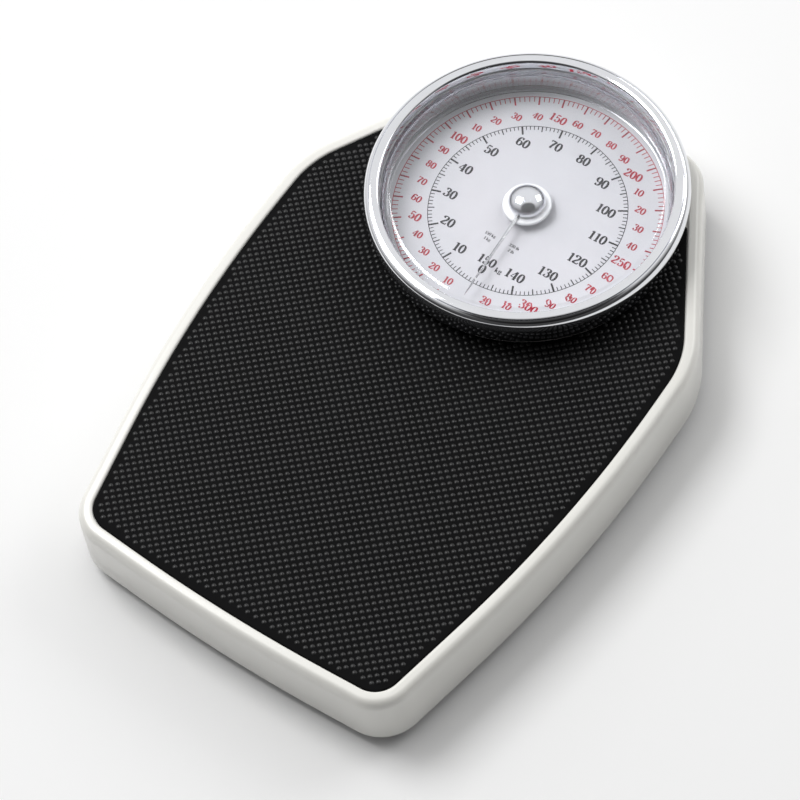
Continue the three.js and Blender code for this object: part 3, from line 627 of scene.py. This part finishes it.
mat = {  # millimetres
    "gap": 0.3,
    "edgeRound": 0.9,
    "backShare": 0.42,  # the mat ends this share of the head's room behind the dial's axis
    "border": 3.8,
    "pitchX": 6.094,  # between dots along a row
    "pitchY": 5.657,  # between rows that line up; the rows between stand half way
    "columns": 50,
    "rows": 70,
    "dotRadius": 1.75,
    "dotHeight": 0.62,
}
matLow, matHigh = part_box("rubber_mat")
sheetTop = matHigh.z / mm - mat["dotHeight"]  # the dots stand on this, in millimetres


def makeMatSheet():
    inset = cover["rimWidth"] + mat["gap"]
    low, top, r = matLow.z / mm, sheetTop, mat["edgeRound"]
    levels = [(inset, low), *arc(inset + r, top - r, r, 180, 90, 6)]
    behind = headY + headRoom * mat["backShare"] * mm
    mesh = carved(
        stacked("sheet", levels),
        column(headRoom * mm, (low - 2) * mm, (top + 2) * mm),
        brick(-0.3, 0.3, behind, behind + 0.2, (low - 2) * mm, (top + 2) * mm))
    mesh.name = "mat_sheet"
    smoothByAngle(mesh, 30)
    piece = addPiece("mat_sheet", mesh, matRubber, "platform")
    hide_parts("rubber_mat")


# The flat stretch that carries dots: the sheet less a plain border
def matField():
    inset = cover["rimWidth"] + mat["gap"] + mat["border"]
    low, top = matLow.z / mm, matHigh.z / mm - 1
    behind = headY + (headRoom * mat["backShare"] - mat["border"]) * mm
    return carved(
        stacked("field", [(inset, low), (inset, top)]),
        column((headRoom + 1) * mm, (low - 2) * mm, (top + 2) * mm),
        brick(-0.3, 0.3, behind, behind + 0.2, (low - 2) * mm, (top + 2) * mm))


# A low dome with a flat foot, a few dozen faces
def dotMesh():
    r, h = mat["dotRadius"] * mm, mat["dotHeight"] * mm
    profile = [(0, -0.1 * mm), (r, -0.1 * mm), (r * 0.7, h * 0.66), (0, h)]
    return turned("dot", profile, 8, (0, 0), 80)


def dotTree():
    tree, start, end = newTree("matDots", [
        ("Pitch X", "NodeSocketFloat"), ("Pitch Y", "NodeSocketFloat"), ("Columns", "NodeSocketInt"),
        ("Rows", "NodeSocketInt"), ("Centre", "NodeSocketVector"), ("Dot", "NodeSocketObject"),
        ("Finish", "NodeSocketMaterial")])
    new = tree.nodes.new
    wide, deep = new("ShaderNodeMath"), new("ShaderNodeMath")
    wide.operation = deep.operation = "MULTIPLY"
    grid = new("GeometryNodeMeshGrid")
    half = new("ShaderNodeCombineXYZ")
    halve = new("ShaderNodeVectorMath")
    halve.operation = "SCALE"
    halve.inputs["Scale"].default_value = 0.5
    second = new("GeometryNodeTransform")
    both = new("GeometryNodeJoinGeometry")
    placed = new("GeometryNodeTransform")
    ray = new("GeometryNodeRaycast")
    preset(ray, {"Ray Direction": (0, 0, -1), "Ray Length": 0.02})
    missed = new("FunctionNodeBooleanMath")
    missed.operation = "NOT"
    kept = new("GeometryNodeDeleteGeometry")
    dot = new("GeometryNodeObjectInfo")
    spread = new("GeometryNodeInstanceOnPoints")
    given = start.outputs
    joinUp(
        tree,
        (given["Pitch X"], wide.inputs[0]), (given["Columns"], wide.inputs[1]),
        (given["Pitch Y"], deep.inputs[0]), (given["Rows"], deep.inputs[1]),
        (wide.outputs[0], grid.inputs["Size X"]), (deep.outputs[0], grid.inputs["Size Y"]),
        (given["Columns"], grid.inputs["Vertices X"]),
        (given["Rows"], grid.inputs["Vertices Y"]),
        (given["Pitch X"], half.inputs["X"]), (given["Pitch Y"], half.inputs["Y"]),
        (half.outputs[0], halve.inputs[0]), (halve.outputs[0], second.inputs["Translation"]),
        (grid.outputs["Mesh"], second.inputs["Geometry"]),
        (grid.outputs["Mesh"], both.inputs[0]), (second.outputs[0], both.inputs[0]),
        (both.outputs[0], placed.inputs["Geometry"]),
        (given["Centre"], placed.inputs["Translation"]),
        (placed.outputs[0], kept.inputs["Geometry"]),
        (given["Geometry"], ray.inputs["Target Geometry"]),
        (ray.outputs["Is Hit"], missed.inputs[0]), (missed.outputs[0], kept.inputs["Selection"]),
        (kept.outputs[0], spread.inputs["Points"]), (given["Dot"], dot.inputs["Object"]),
        (dot.outputs["Geometry"], spread.inputs["Instance"]))
    endTree(tree, spread.outputs[0], start, end)
    return tree


def makeMatDots():
    dot = looseObject("dot", dotMesh())
    middle = (matLow.y + matHigh.y) / 2
    mesh = grown(dotTree(), "mat_dots", matField(), {
        "Pitch X": mat["pitchX"] * mm, "Pitch Y": mat["pitchY"] * mm,
        "Columns": mat["columns"], "Rows": mat["rows"],
        "Centre": (0, middle, sheetTop * mm), "Dot": dot, "Finish": dotRubberLitTone})
    bpy.data.objects.remove(dot)
    smoothByAngle(mesh, 80)
    addPiece("mat_dots", mesh, dotRubberLitTone, "platform")
    print("mat dots:", len(mesh.polygons), "faces")


makeMatSheet()
makeMatDots()


dial = {
    "fullKg": 150,
    "fullLb": 330.69,
    "inkHeight": 0.03 * mm,
    "lbRing": 1.365,  # shares of the kilogram ring
    "lineWidth": 0.0075,
    "kgLabelRadius": 0.8,
    "kgWideRadius": 0.782,  # for the three-figure labels
    "zeroDrop": 0.02,
    "notes": [  # text, its place across and outwards, height
        ("150", -0.01, 0.712, 0.1), ("kg", 0.15, 0.752, 0.055),
        ("150 kg", -0.15, 0.44, 0.034), ("1 kg", -0.15, 0.5, 0.034),
        ("330 lb", 0.13, 0.44, 0.034), ("2 lb", 0.13, 0.5, 0.034),
    ],
    "figureSpread": 1.16,  # widens every figure
    "kgLabelHeight": 0.104,
    "lbLabelRadius": 1.125,
    "lbLabelHeight": 0.078,
    "lbHundredHeight": 0.094,
}


# A ring of small bars that point at the dial's axis, going clockwise from the front
def tickTree():
    tree, start, end = newTree("tickRing", [
        ("Count", "NodeSocketInt"), ("Step", "NodeSocketFloat"), ("Radius", "NodeSocketFloat"),
        ("Bar", "NodeSocketVector"), ("Centre", "NodeSocketVector"), ("Finish", "NodeSocketMaterial")])
    new = tree.nodes.new
    line = new("GeometryNodeMeshLine")
    line.inputs["Offset"].default_value = (0, 0, 0)
    index = new("GeometryNodeInputIndex")
    angle = new("ShaderNodeMath")
    angle.operation = "MULTIPLY_ADD"
    angle.inputs[2].default_value = -math.pi / 2
    spin = new("ShaderNodeCombineXYZ")
    euler = new("FunctionNodeEulerToRotation")
    reach = new("ShaderNodeCombineXYZ")
    place = new("FunctionNodeRotateVector")
    move = new("GeometryNodeSetPosition")
    bar = new("GeometryNodeMeshCube")
    spread = new("GeometryNodeInstanceOnPoints")
    shift = new("GeometryNodeTransform")
    given = start.outputs
    joinUp(
        tree,
        (given["Count"], line.inputs["Count"]), (index.outputs[0], angle.inputs[0]),
        (given["Step"], angle.inputs[1]), (angle.outputs[0], spin.inputs["Z"]),
        (spin.outputs[0], euler.inputs[0]), (given["Radius"], reach.inputs["X"]),
        (reach.outputs[0], place.inputs["Vector"]), (euler.outputs[0], place.inputs["Rotation"]),
        (line.outputs[0], move.inputs["Geometry"]), (place.outputs[0], move.inputs["Position"]),
        (given["Bar"], bar.inputs["Size"]), (move.outputs[0], spread.inputs["Points"]),
        (bar.outputs["Mesh"], spread.inputs["Instance"]), (euler.outputs[0], spread.inputs["Rotation"]),
        (spread.outputs[0], shift.inputs["Geometry"]),
        (given["Centre"], shift.inputs["Translation"]))
    endTree(tree, shift.outputs[0], start, end)
    return tree


# count, degrees between bars, outer radius, length, width; all lengths in shares of the kilogram ring
kgTicks = [
    (150, 360 / 150, 1.0, 0.044, 0.009),
    (30, 360 / 30, 1.0, 0.066, 0.012),
    (15, 360 / 15, 1.0, 0.1, 0.019),
]
lbStep = 360 / dial["fullLb"]
lbTicks = [
    (166, 2 * lbStep, dial["lbRing"], 0.062, 0.009),
    (34, 10 * lbStep, dial["lbRing"], 0.1, 0.017),
]


def tickMeshes(tree, rings, finish):
    meshes = []
    for count, step, radius, length, width in rings:
        height = dial["inkHeight"]
        meshes.append(grown(tree, "ticks", pointMesh("none", [(0, 0, 0)]), {
            "Count": count, "Step": -math.radians(step), "Radius": (radius - length / 2) * kgRing,
            "Bar": (length * kgRing, width * kgRing, height),
            "Centre": (0, headY, faceZ + height / 2), "Finish": finish}))
    return meshes


def ringLine(radius):
    half = dial["lineWidth"] * kgRing / 2
    inner, outer = radius * kgRing - half, radius * kgRing + half
    top = faceZ + dial["inkHeight"]
    return turned("line", [(inner, faceZ), (outer, faceZ), (outer, top), (inner, top)], 240)


# Serif figures drawn with a broad nib: upright strokes come out thick and level ones thin.
# Each stroke is a kind and its points, in a cell one unit high.
figures = {
    "0": (0.60, [("loop", 0.3, 0.5, 0.205, 0.465)]),
    "1": (0.50, [("line", (0.27, 0.96), (0.27, 0.03)), ("thin", (0.1, 0.03), (0.44, 0.03)),
                 ("thin", (0.08, 0.84), (0.26, 0.93))]),
    "2": (0.60, [("ball", 0.15, 0.75, 0.075),
                 ("curve", (0.1, 0.76), (0.15, 0.9), (0.3, 0.965), (0.45, 0.89), (0.48, 0.73), (0.41, 0.55),
                  (0.25, 0.36), (0.12, 0.17), (0.09, 0.06)),
                 ("bar", (0.07, 0.07), (0.5, 0.07)), ("thin", (0.5, 0.05), (0.53, 0.24))]),
    "3": (0.60, [("ball", 0.16, 0.8, 0.07), ("ball", 0.14, 0.21, 0.08),
                 ("curve", (0.12, 0.83), (0.19, 0.93), (0.3, 0.965), (0.42, 0.9), (0.455, 0.75), (0.4, 0.6),
                  (0.26, 0.535)),
                 ("curve", (0.26, 0.535), (0.42, 0.48), (0.49, 0.28), (0.42, 0.1), (0.28, 0.035),
                  (0.15, 0.08), (0.09, 0.17))]),
    "4": (0.62, [("thin", (0.4, 0.95), (0.06, 0.3)), ("thin", (0.04, 0.28), (0.58, 0.28)),
                 ("line", (0.42, 0.96), (0.42, 0.03)), ("thin", (0.28, 0.03), (0.56, 0.03))]),
    "5": (0.60, [("bar", (0.14, 0.93), (0.47, 0.93)), ("thin", (0.14, 0.93), (0.12, 0.53)),
                 ("ball", 0.15, 0.2, 0.08),
                 ("curve", (0.12, 0.52), (0.2, 0.6), (0.31, 0.625), (0.44, 0.54), (0.49, 0.33), (0.43, 0.11),
                  (0.28, 0.035), (0.16, 0.07), (0.09, 0.17))]),
    "6": (0.60, [("ball", 0.44, 0.82, 0.075),
                 ("curve", (0.49, 0.85), (0.42, 0.94), (0.33, 0.965), (0.2, 0.88), (0.12, 0.7),
                  (0.095, 0.42)),
                 ("loop", 0.3, 0.305, 0.2, 0.27)]),
    "7": (0.58, [("bar", (0.08, 0.92), (0.53, 0.92)), ("thin", (0.08, 0.95), (0.07, 0.76)),
                 ("curve", (0.52, 0.92), (0.4, 0.68), (0.3, 0.42), (0.25, 0.2), (0.24, 0.03))]),
    "8": (0.60, [("loop", 0.3, 0.745, 0.16, 0.215), ("loop", 0.3, 0.28, 0.2, 0.245)]),
    "9": (0.60, [("ball", 0.16, 0.18, 0.075),
                 ("curve", (0.11, 0.15), (0.18, 0.06), (0.27, 0.035), (0.4, 0.12), (0.48, 0.3),
                  (0.505, 0.58)),
                 ("loop", 0.3, 0.695, 0.2, 0.27)]),
    "k": (0.60, [("line", (0.14, 0.96), (0.14, 0.03)), ("thin", (0.2, 0.28), (0.46, 0.6)),
                 ("line", (0.27, 0.38), (0.46, 0.03)), ("thin", (0.03, 0.03), (0.56, 0.03))]),
    "g": (0.58, [("loop", 0.27, 0.42, 0.17, 0.2), ("loop", 0.28, -0.08, 0.2, 0.13),
                 ("thin", (0.38, 0.56), (0.52, 0.62)), ("thin", (0.16, 0.22), (0.14, 0.05))]),
    "l": (0.32, [("line", (0.15, 0.96), (0.15, 0.03)), ("thin", (0.03, 0.03), (0.27, 0.03))]),
    "b": (0.58, [("line", (0.12, 0.96), (0.12, 0.03)), ("loop", 0.29, 0.32, 0.18, 0.28)]),
    " ": (0.25, []),
}
nib = {"wide": 0.1, "thin": 0.04, "bar": 0.07}


def smoothPath(points, closed, each=5):
    count = len(points)
    path = []
    for i in range(count if closed else count - 1):
        p0 = points[i - 1] if closed or i else points[0]
        p1, p2 = points[i], points[(i + 1) % count]
        p3 = points[(i + 2) % count] if closed or i + 2 < count else p2
        for k in range(each):
            t = k / each
            path.append(tuple(
                0.5 * (2 * b + (c - a) * t + (2 * a - 5 * b + 4 * c - d) * t * t
                       + (3 * b - a - 3 * c + d) * t ** 3)
                for a, b, c, d in zip(p0, p1, p2, p3)))
    return path if closed else path + [points[-1]]


# Adds one stroke to a mesh as a thin raised ribbon
def inkRibbon(work, path, closed, wide, high, place, size):
    top = dial["inkHeight"]
    rows = []
    count = len(path)
    for i, (x, y) in enumerate(path):
        before = path[i - 1] if closed or i else path[i]
        after = path[(i + 1) % count] if closed or i + 1 < count else path[i]
        along = Vector((after[0] - before[0], after[1] - before[1])).normalized()
        normal = Vector((-along.y, along.x))
        half = math.hypot(wide * normal.x, high * normal.y)
        row = []
        for side, z in ((1, 0), (1, top), (-1, top), (-1, 0)):
            spot = Vector((x, y)) + normal * half * side
            across = spot.x * size * dial["figureSpread"]
            row.append(work.verts.new((place[0] + across, place[1] + spot.y * size, faceZ + z)))
        rows.append(row)
    wallUp(work, rows + rows[:1] if closed else rows)
    if not closed:
        capEnds(work, rows[::-1])


def inkFigure(work, figure, place, size):
    for kind, *data in figures[figure][1]:
        if kind in ("loop", "ball"):
            cx, cy, *half = data  # a loop has two half axes, a ball one width
            rx, ry = half if kind == "loop" else (half[0] / 2, half[0] / 2)
            turns = [k * math.pi / 12 for k in range(24)]
            ring = [(cx + rx * math.cos(a), cy + ry * math.sin(a)) for a in turns]
            wide, high = (nib["wide"], nib["thin"]) if kind == "loop" else (rx, rx)
            inkRibbon(work, ring, True, wide, high, place, size)
        else:
            wide = nib["thin"] if kind == "thin" else nib["wide"]
            high = nib["bar"] if kind == "bar" else nib["thin"]
            path = smoothPath(data, False) if kind == "curve" else data
            inkRibbon(work, path, False, wide, high, place, size)


# Writes upright text with its middle at a place given from the dial's axis
def inkText(work, text, x, y, height):
    cell = height * dial["figureSpread"]
    left = x - sum(figures[c][0] for c in text) * cell / 2
    for c in text:
        inkFigure(work, c, (left, headY + y - height / 2), height)
        left += figures[c][0] * cell


def onDial(share, radius):
    angle = -math.pi / 2 - share * 2 * math.pi
    return math.cos(angle) * radius * kgRing, math.sin(angle) * radius * kgRing


def makeBlackPrint():
    work = bmesh.new()
    for kg in range(0, dial["fullKg"], 10):
        radius = dial["kgLabelRadius"] if kg < 100 else dial["kgWideRadius"]
        x, y = onDial(kg / dial["fullKg"], radius + (0 if kg else dial["zeroDrop"]))
        inkText(work, str(kg), x, y, dial["kgLabelHeight"] * kgRing)
    for text, across, out, height in dial["notes"]:
        inkText(work, text, across * kgRing, -out * kgRing, height * kgRing)
    numerals = meshFrom("numerals", work)
    tree = tickTree()
    meshes = [numerals, ringLine(1.0), *tickMeshes(tree, kgTicks, blackInk)]
    addPiece("dial_print_black", joined("dial_print_black", meshes), blackInk, "base")


def makeRedPrint():
    work = bmesh.new()
    for lb in range(10, 330, 10):
        hundred = lb % 50 == 0
        x, y = onDial(lb / dial["fullLb"], dial["lbLabelRadius"])
        height = dial["lbHundredHeight"] if hundred else dial["lbLabelHeight"]
        inkText(work, str(lb if hundred else lb % 100), x, y, height * kgRing)
    numerals = meshFrom("numerals", work)
    tree = tickTree()
    meshes = [numerals, ringLine(dial["lbRing"]), *tickMeshes(tree, lbTicks, redInk)]
    addPiece("dial_print_red", joined("dial_print_red", meshes), redInk, "base")


def joined(name, meshes):
    work = bmesh.new()
    for mesh in meshes:
        work.from_mesh(mesh)
    result = bpy.data.meshes.new(name)
    work.to_mesh(result)
    work.free()
    return result


makeBlackPrint()
makeRedPrint()
print("dial printed")


head = {  # millimetres
    "lipIn": 10.6,  # inner edge, in from the bezel's outside
    "lipDrop": 6.6,  # underside of the lip below the bezel's top
    "crownRadius": 8.0,  # the shallow ring inside the groove
    "grooveDepth": 0.95,
    "rollWide": 5.0,  # half axes of the outer roll
    "rollHigh": 6.8,
    "skirtIn": 2.0,
    "skirtWall": 1.4,
    "canGap": 0.6,  # between the bezel and the can inside it
    "groove": [(6.1, 0.5), (6.3, 0.95), (6.5, 1.0), (6.65, 0.6)],  # across, share of its depth
}


def makeBezel():
    outer, foot, top = roundSize(*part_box("bezel"))
    inner = outer - head["lipIn"]
    skirt = outer - head["skirtIn"]
    wide, tall, crown = head["rollWide"], head["rollHigh"], head["crownRadius"]
    under = top - head["lipDrop"]
    rollFoot = top - tall - 0.4
    profile = [(inner, under)]
    profile += arc(inner + 1.4, top - 1.8, 1.4, 180, 112, 6)
    profile += arc(inner + 3.6, top - crown, crown, 107, 73, 8)
    for across, share in head["groove"]:
        profile.append((inner + across, top - 0.4 - head["grooveDepth"] * share))
    profile += arc(outer - wide, rollFoot, wide, 77, -42, 28, tall / wide)
    profile += [(skirt - 0.5, top - 12.3), (skirt - 0.5, top - 12.8), (skirt, top - 13.2)]
    profile += arc(skirt - 0.6, foot + 0.6, 0.6, 0, -180, 6)
    inside = housingRadius + head["canGap"]
    profile += [(skirt - head["skirtWall"], top - 12.6), (inside, top - 9.6), (inside, under)]
    mesh = turnedMm("chrome_bezel", profile, 256, sharp=25)
    piece = addPiece("chrome_bezel", mesh, chromePlate, "base")
    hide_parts("bezel")


cup = {"wall": 1.6, "edgeRound": 8.0}  # millimetres


def makeLens():
    outer, foot, top = roundSize(*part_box("lens"))
    wall, r = cup["wall"], cup["edgeRound"]
    profile = [(outer - wall, foot), (outer, foot)]
    profile += arc(outer - r, top - r, r, 0, 90, 28)
    profile += [(0, top), (0, top - wall)]
    profile += arc(outer - r, top - r, r - wall, 90, 0, 28)
    mesh = turnedMm("clear_lens", profile, 256, sharp=40)
    piece = addPiece("clear_lens", mesh, clearCup, "base")
    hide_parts("lens")


def makeHousing():
    low, high = housingLow.z / mm, housingHigh.z / mm
    r = housingRadius
    profile = [(6, low)] + arc(r - 3, low + 3, 3, -90, 0, 8)
    profile += arc(r - 0.3, high - 0.3, 0.3, 0, 90, 2)
    profile += [(r - 1.2, high)] + arc(r - 3, low + 2.6, 1.8, 0, -90, 6) + [(6, low + 0.8)]
    mesh = turnedMm("dial_can", profile, 192)
    piece = addPiece("dial_can", mesh, brightCan, "base")
    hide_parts("dial_housing")


def makeHub():
    radius, foot, top = roundSize(*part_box("hub_dome"))
    rise = top - foot
    profile = [(0, foot), (radius - 0.5, foot), (radius, foot + 0.5), (radius, foot + 1.3)]
    profile += arc(0, foot + 1.3, radius, 4.5, 85.5, 18, (rise - 1.3) / radius)
    profile += [(0, top)]
    mesh = turnedMm("hub_cap", profile, 96, sharp=50)
    piece = addPiece("hub_cap", mesh, chromePlate, "pointer_spindle")
    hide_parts("hub_dome")


def makeCollar():
    radius, foot, top = roundSize(*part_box("pointer_collar"))
    profile = [(1.8, foot), (radius - 3, foot)]
    profile += arc(radius - 1.4, top - 1.4, 1.4, -35, 90, 10)
    profile += [(radius - 2.6, top - 0.25), (radius - 3.2, top), (1.8, top)]
    mesh = turnedMm("collar_ring", profile, 96)
    piece = addPiece("collar_ring", mesh, paleCollar, "pointer_spindle")
    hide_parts("pointer_collar")


needle = {  # millimetres, but for its turn and the shares
    "turn": 2.6,  # degrees it stands off the zero line
    "eyeRadii": (1.8, 8),
    "edge": 0.35,  # height of its side edges
    "ridge": 0.15,  # the ridge's share of its width
    # share of its length from the axis, half its width there
    "widths": [(0.06, 1.5), (0.12, 1.25), (0.5, 0.85), (0.9, 0.55), (0.975, 0.4), (1.0, 0.08)],
}


# The pointer: an eye round the spindle and a tapered arm with a ridge along it
def makePointer():
    low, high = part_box("pointer")
    length = headY - low.y + 0.0001
    under, top = low.z, high.z
    turn = math.radians(needle["turn"])
    work = bmesh.new()
    rows = []
    edge = under + needle["edge"] * mm
    for share, half in needle["widths"]:
        ridge = half * needle["ridge"]
        section = ((-half, under), (half, under), (half, edge), (ridge, top), (-ridge, top), (-half, edge))
        rows.append([work.verts.new((x * mm, -share * length, z)) for x, z in section])
    wallUp(work, rows)
    capEnds(work, rows[::-1])
    bmesh.ops.rotate(work, verts=work.verts, cent=(0, 0, 0), matrix=Matrix.Rotation(turn, 3, "Z"))
    bmesh.ops.translate(work, verts=work.verts, vec=headAxis)
    arm = meshFrom("arm", work, 25)
    inner, outer = (r * mm for r in needle["eyeRadii"])
    lid = top - 0.1 * mm
    eye = turned("eye", [(inner, under), (outer, under), (outer, lid), (inner, lid)], 64)
    mesh = joined("needle", [arm, eye])
    piece = addPiece("needle", mesh, pointerSteel, "pointer_spindle")
    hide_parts("pointer")


makeBezel()
makeLens()
makeHousing()
makeHub()
makeCollar()
makePointer()
print("dial head ready")


base = {  # millimetres
    "inset": 8.0,
    "sheet": 2.0,
    "bendRound": 3.0,
    "ribDepth": 0.8,
    "ribWidth": 9.0,
    "ribs": [(-48, -300, -120), (48, -300, -120), (-100, -150, -20), (100, -150, -20)],  # x, front, back
    "slotMargin": 1.5,
    "slotPastPin": 7.0,
    "slotHigh": 2.5,
}


# A round-ended groove tool that lies along Y
def grooveTool(x, front, back, depth):
    half, foot = base["ribWidth"] / 2, coverLow.z / mm - base["sheet"]
    ends = []
    for centre, start in ((back - half, 0), (front + half, 180)):
        ends += arc(x, centre, half, start, start + 180, 12)
    work = bmesh.new()
    rings = []
    for z, shrink in ((foot - 1, 1.0), (foot, 1.0), (foot + depth, 0.7)):
        ring = []
        for px, py in ends:
            ring.append(work.verts.new(((x + (px - x) * shrink) * mm, headY + py * mm, z * mm)))
        rings.append(ring)
    wallUp(work, rings)
    capEnds(work, rings)
    return meshFrom("groove", work)


def makeBaseTray():
    low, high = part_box("base_plate")
    foot, top = low.z / mm, high.z / mm
    inset, sheet, r = base["inset"], base["sheet"], base["bendRound"]
    bend = (inset + r, foot + r)
    outside = [*arc(*bend, r, 270, 180, 6), (inset, top - 0.4), (inset + 0.4, top)]
    inside = [*arc(*bend, r - sheet, 270, 180, 6), (inset + sheet, top + 1)]
    crankLow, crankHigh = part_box("bell_crank")
    pinLow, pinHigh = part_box("crank_pin")
    margin = base["slotMargin"] * mm
    slotBack = (pinLow.y + pinHigh.y) / 2 - base["slotPastPin"] * mm
    slotTop = low.z + base["slotHigh"] * mm
    slot = brick(crankLow.x - margin, crankHigh.x + margin, crankLow.y - margin, slotBack, 0, slotTop)
    ribs = [grooveTool(x, front, back, base["ribDepth"]) for x, front, back in base["ribs"]]
    mesh = carved(stacked("tray", outside), stacked("hollow", inside), slot, *ribs)
    smoothByAngle(mesh, 20)
    piece = addPiece("base_tray", mesh, greyPaint, "base")
    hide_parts("base_plate")


# Copies one shape to each of the places given
def copyTree():
    tree, start, end = newTree("placedCopies", [
        ("Copy", "NodeSocketObject"), ("Finish", "NodeSocketMaterial")])
    copy = tree.nodes.new("GeometryNodeObjectInfo")
    points = tree.nodes.new("GeometryNodeMeshToPoints")
    spread = tree.nodes.new("GeometryNodeInstanceOnPoints")
    given = start.outputs
    joinUp(
        tree,
        (given["Copy"], copy.inputs["Object"]), (given["Geometry"], points.inputs[0]),
        (points.outputs[0], spread.inputs["Points"]), (copy.outputs["Geometry"], spread.inputs["Instance"]))
    endTree(tree, spread.outputs[0], start, end)
    return tree


corners = [end + "_" + side for end in ("front", "rear") for side in ("left", "right")]


def nodeMiddles(prefix, z):
    places = []
    for corner in corners:
        low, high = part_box(prefix + corner)
        places.append(((low.x + high.x) / 2, (low.y + high.y) / 2, z))
    return places


def makeFeet():
    foot = [(0, 4.7), (5.5, 4.7), (5.5, 0.8)] + arc(6.3, 0.8, 0.8, 180, 270, 4)
    for groove in (7.8, 10.2):
        foot += [(groove, 0), (groove + 0.2, 0.5), (groove + 0.7, 0.5), (groove + 0.9, 0)]
    foot += [(12.2, 0)] + arc(12.6, 1.4, 1.4, -90, 0, 6)
    foot += [(13.6, 3.4), (13.0, 3.7), (13.0, 4.1), (13.4, 4.4), (12.3, 7.3), (11.9, 7.7), (0, 7.7)]
    copy = looseObject("copy", turnedMm("foot", foot, 72, (0, 0), 40))
    tree = copyTree()
    mesh = grown(tree, "rubber_feet", pointMesh("places", nodeMiddles("foot_", 0)),
                 {"Copy": copy, "Finish": footRubber})
    bpy.data.objects.remove(copy)
    smoothByAngle(mesh, 40)
    piece = addPiece("rubber_feet", mesh, footRubber, "base")
    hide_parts(*["foot_" + corner for corner in corners])

    low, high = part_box("foot_screw_front_left")
    radius, rise = (high.x - low.x) / 2, high.z - low.z
    screwHead = [(0, 0), (radius * 0.55, 0)]
    shoulder = radius * 0.45
    screwHead += arc(radius * 0.55, rise * 0.75, shoulder, -75, 0, 5, rise * 0.75 / shoulder)
    screwHead += [(radius, rise), (0, rise)]
    arm, wing = radius * 0.55, radius * 0.13
    mesh = carved(turned("head", screwHead, 48, (0, 0), 40),
                  brick(-arm, arm, -wing, wing, -0.001, rise * 0.55),
                  brick(-wing, wing, -arm, arm, -0.001, rise * 0.55))
    copy = looseObject("copy", mesh)
    mesh = grown(tree, "foot_screws", pointMesh("places", nodeMiddles("foot_screw_", low.z)),
                 {"Copy": copy, "Finish": plainSteel})
    bpy.data.objects.remove(copy)
    smoothByAngle(mesh, 40)
    piece = addPiece("foot_screws", mesh, plainSteel, "base")
    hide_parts(*["foot_screw_" + corner for corner in corners])


knob = {  # millimetres
    "ribs": 36,
    "ribDepth": 0.9,
    "ribWidth": 0.95,
    "faceRecess": 0.9,
}


def makeKnob():
    low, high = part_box("zero_knob")
    radius, length = (high.x - low.x) / 2 / mm, (high.y - low.y) / mm
    waist = radius - knob["ribDepth"]
    dish = knob["faceRecess"]
    body = [(0, 0), (waist - 0.8, 0), (waist, 0.8), (waist, length - 1.6)]
    body += arc(waist - 1.6, length - 1.6, 1.6, 0, 90, 6)
    floor = length - dish
    body += [(waist - 2.4, length), (waist - 3.2, floor), (2.2, floor), (1.6, floor + 0.5), (0, floor + 0.6)]
    core = turnedMm("core", body, 96, (0, 0), 30)
    ribLength = knob["ribDepth"] + 0.6
    ribs = grown(tickTree(), "ribs", pointMesh("none", [(0, 0, 0)]), {
        "Count": knob["ribs"], "Step": 2 * math.pi / knob["ribs"],
        "Radius": (radius - ribLength / 2 - 0.02) * mm,
        "Bar": (ribLength * mm, knob["ribWidth"] * mm, (length - 3.4) * mm),
        "Centre": (0, 0, (length - 1.8) / 2 * mm), "Finish": knobPlastic})
    mesh = joined("zero_dial_knob", [core, ribs])
    middle = Vector((0, low.y, (low.z + high.z) / 2))
    mesh.transform(Matrix.Translation(middle) @ Matrix.Rotation(-math.pi / 2, 4, "X"))
    piece = addPiece("zero_dial_knob", mesh, knobPlastic, "knob")
    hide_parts("zero_knob")


makeBaseTray()
makeFeet()
makeKnob()
print("underside and knob ready")


# Finishes for the frame's own nodes that stay in view
keptNodes = {
    "dial_plate": dialLacquer,
    "lens_seal": paleCollar,
    "spindle_bush": brassWork,
    "rack": brassWork,
    "pinion": brassWork,
}
paintedNodes = ("lever", "stiffener", "head_bridge")
replaced = {
    "platform_cover", "rubber_mat", "bezel", "lens", "dial_housing", "hub_dome", "pointer_collar",
    "pointer", "base_plate", "zero_knob",
    *[word + corner for word in ("foot_", "foot_screw_") for corner in corners]}


def dressNodes():
    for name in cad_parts:
        if name in replaced:
            continue
        node = bpy.data.objects[name]
        finish = keptNodes.get(name)
        if finish is None and any(word in name for word in paintedNodes):
            finish = greyPaint
        node.data.materials.clear()
        node.data.materials.append(finish or plainSteel)


dressNodes()
print("frame nodes dressed")
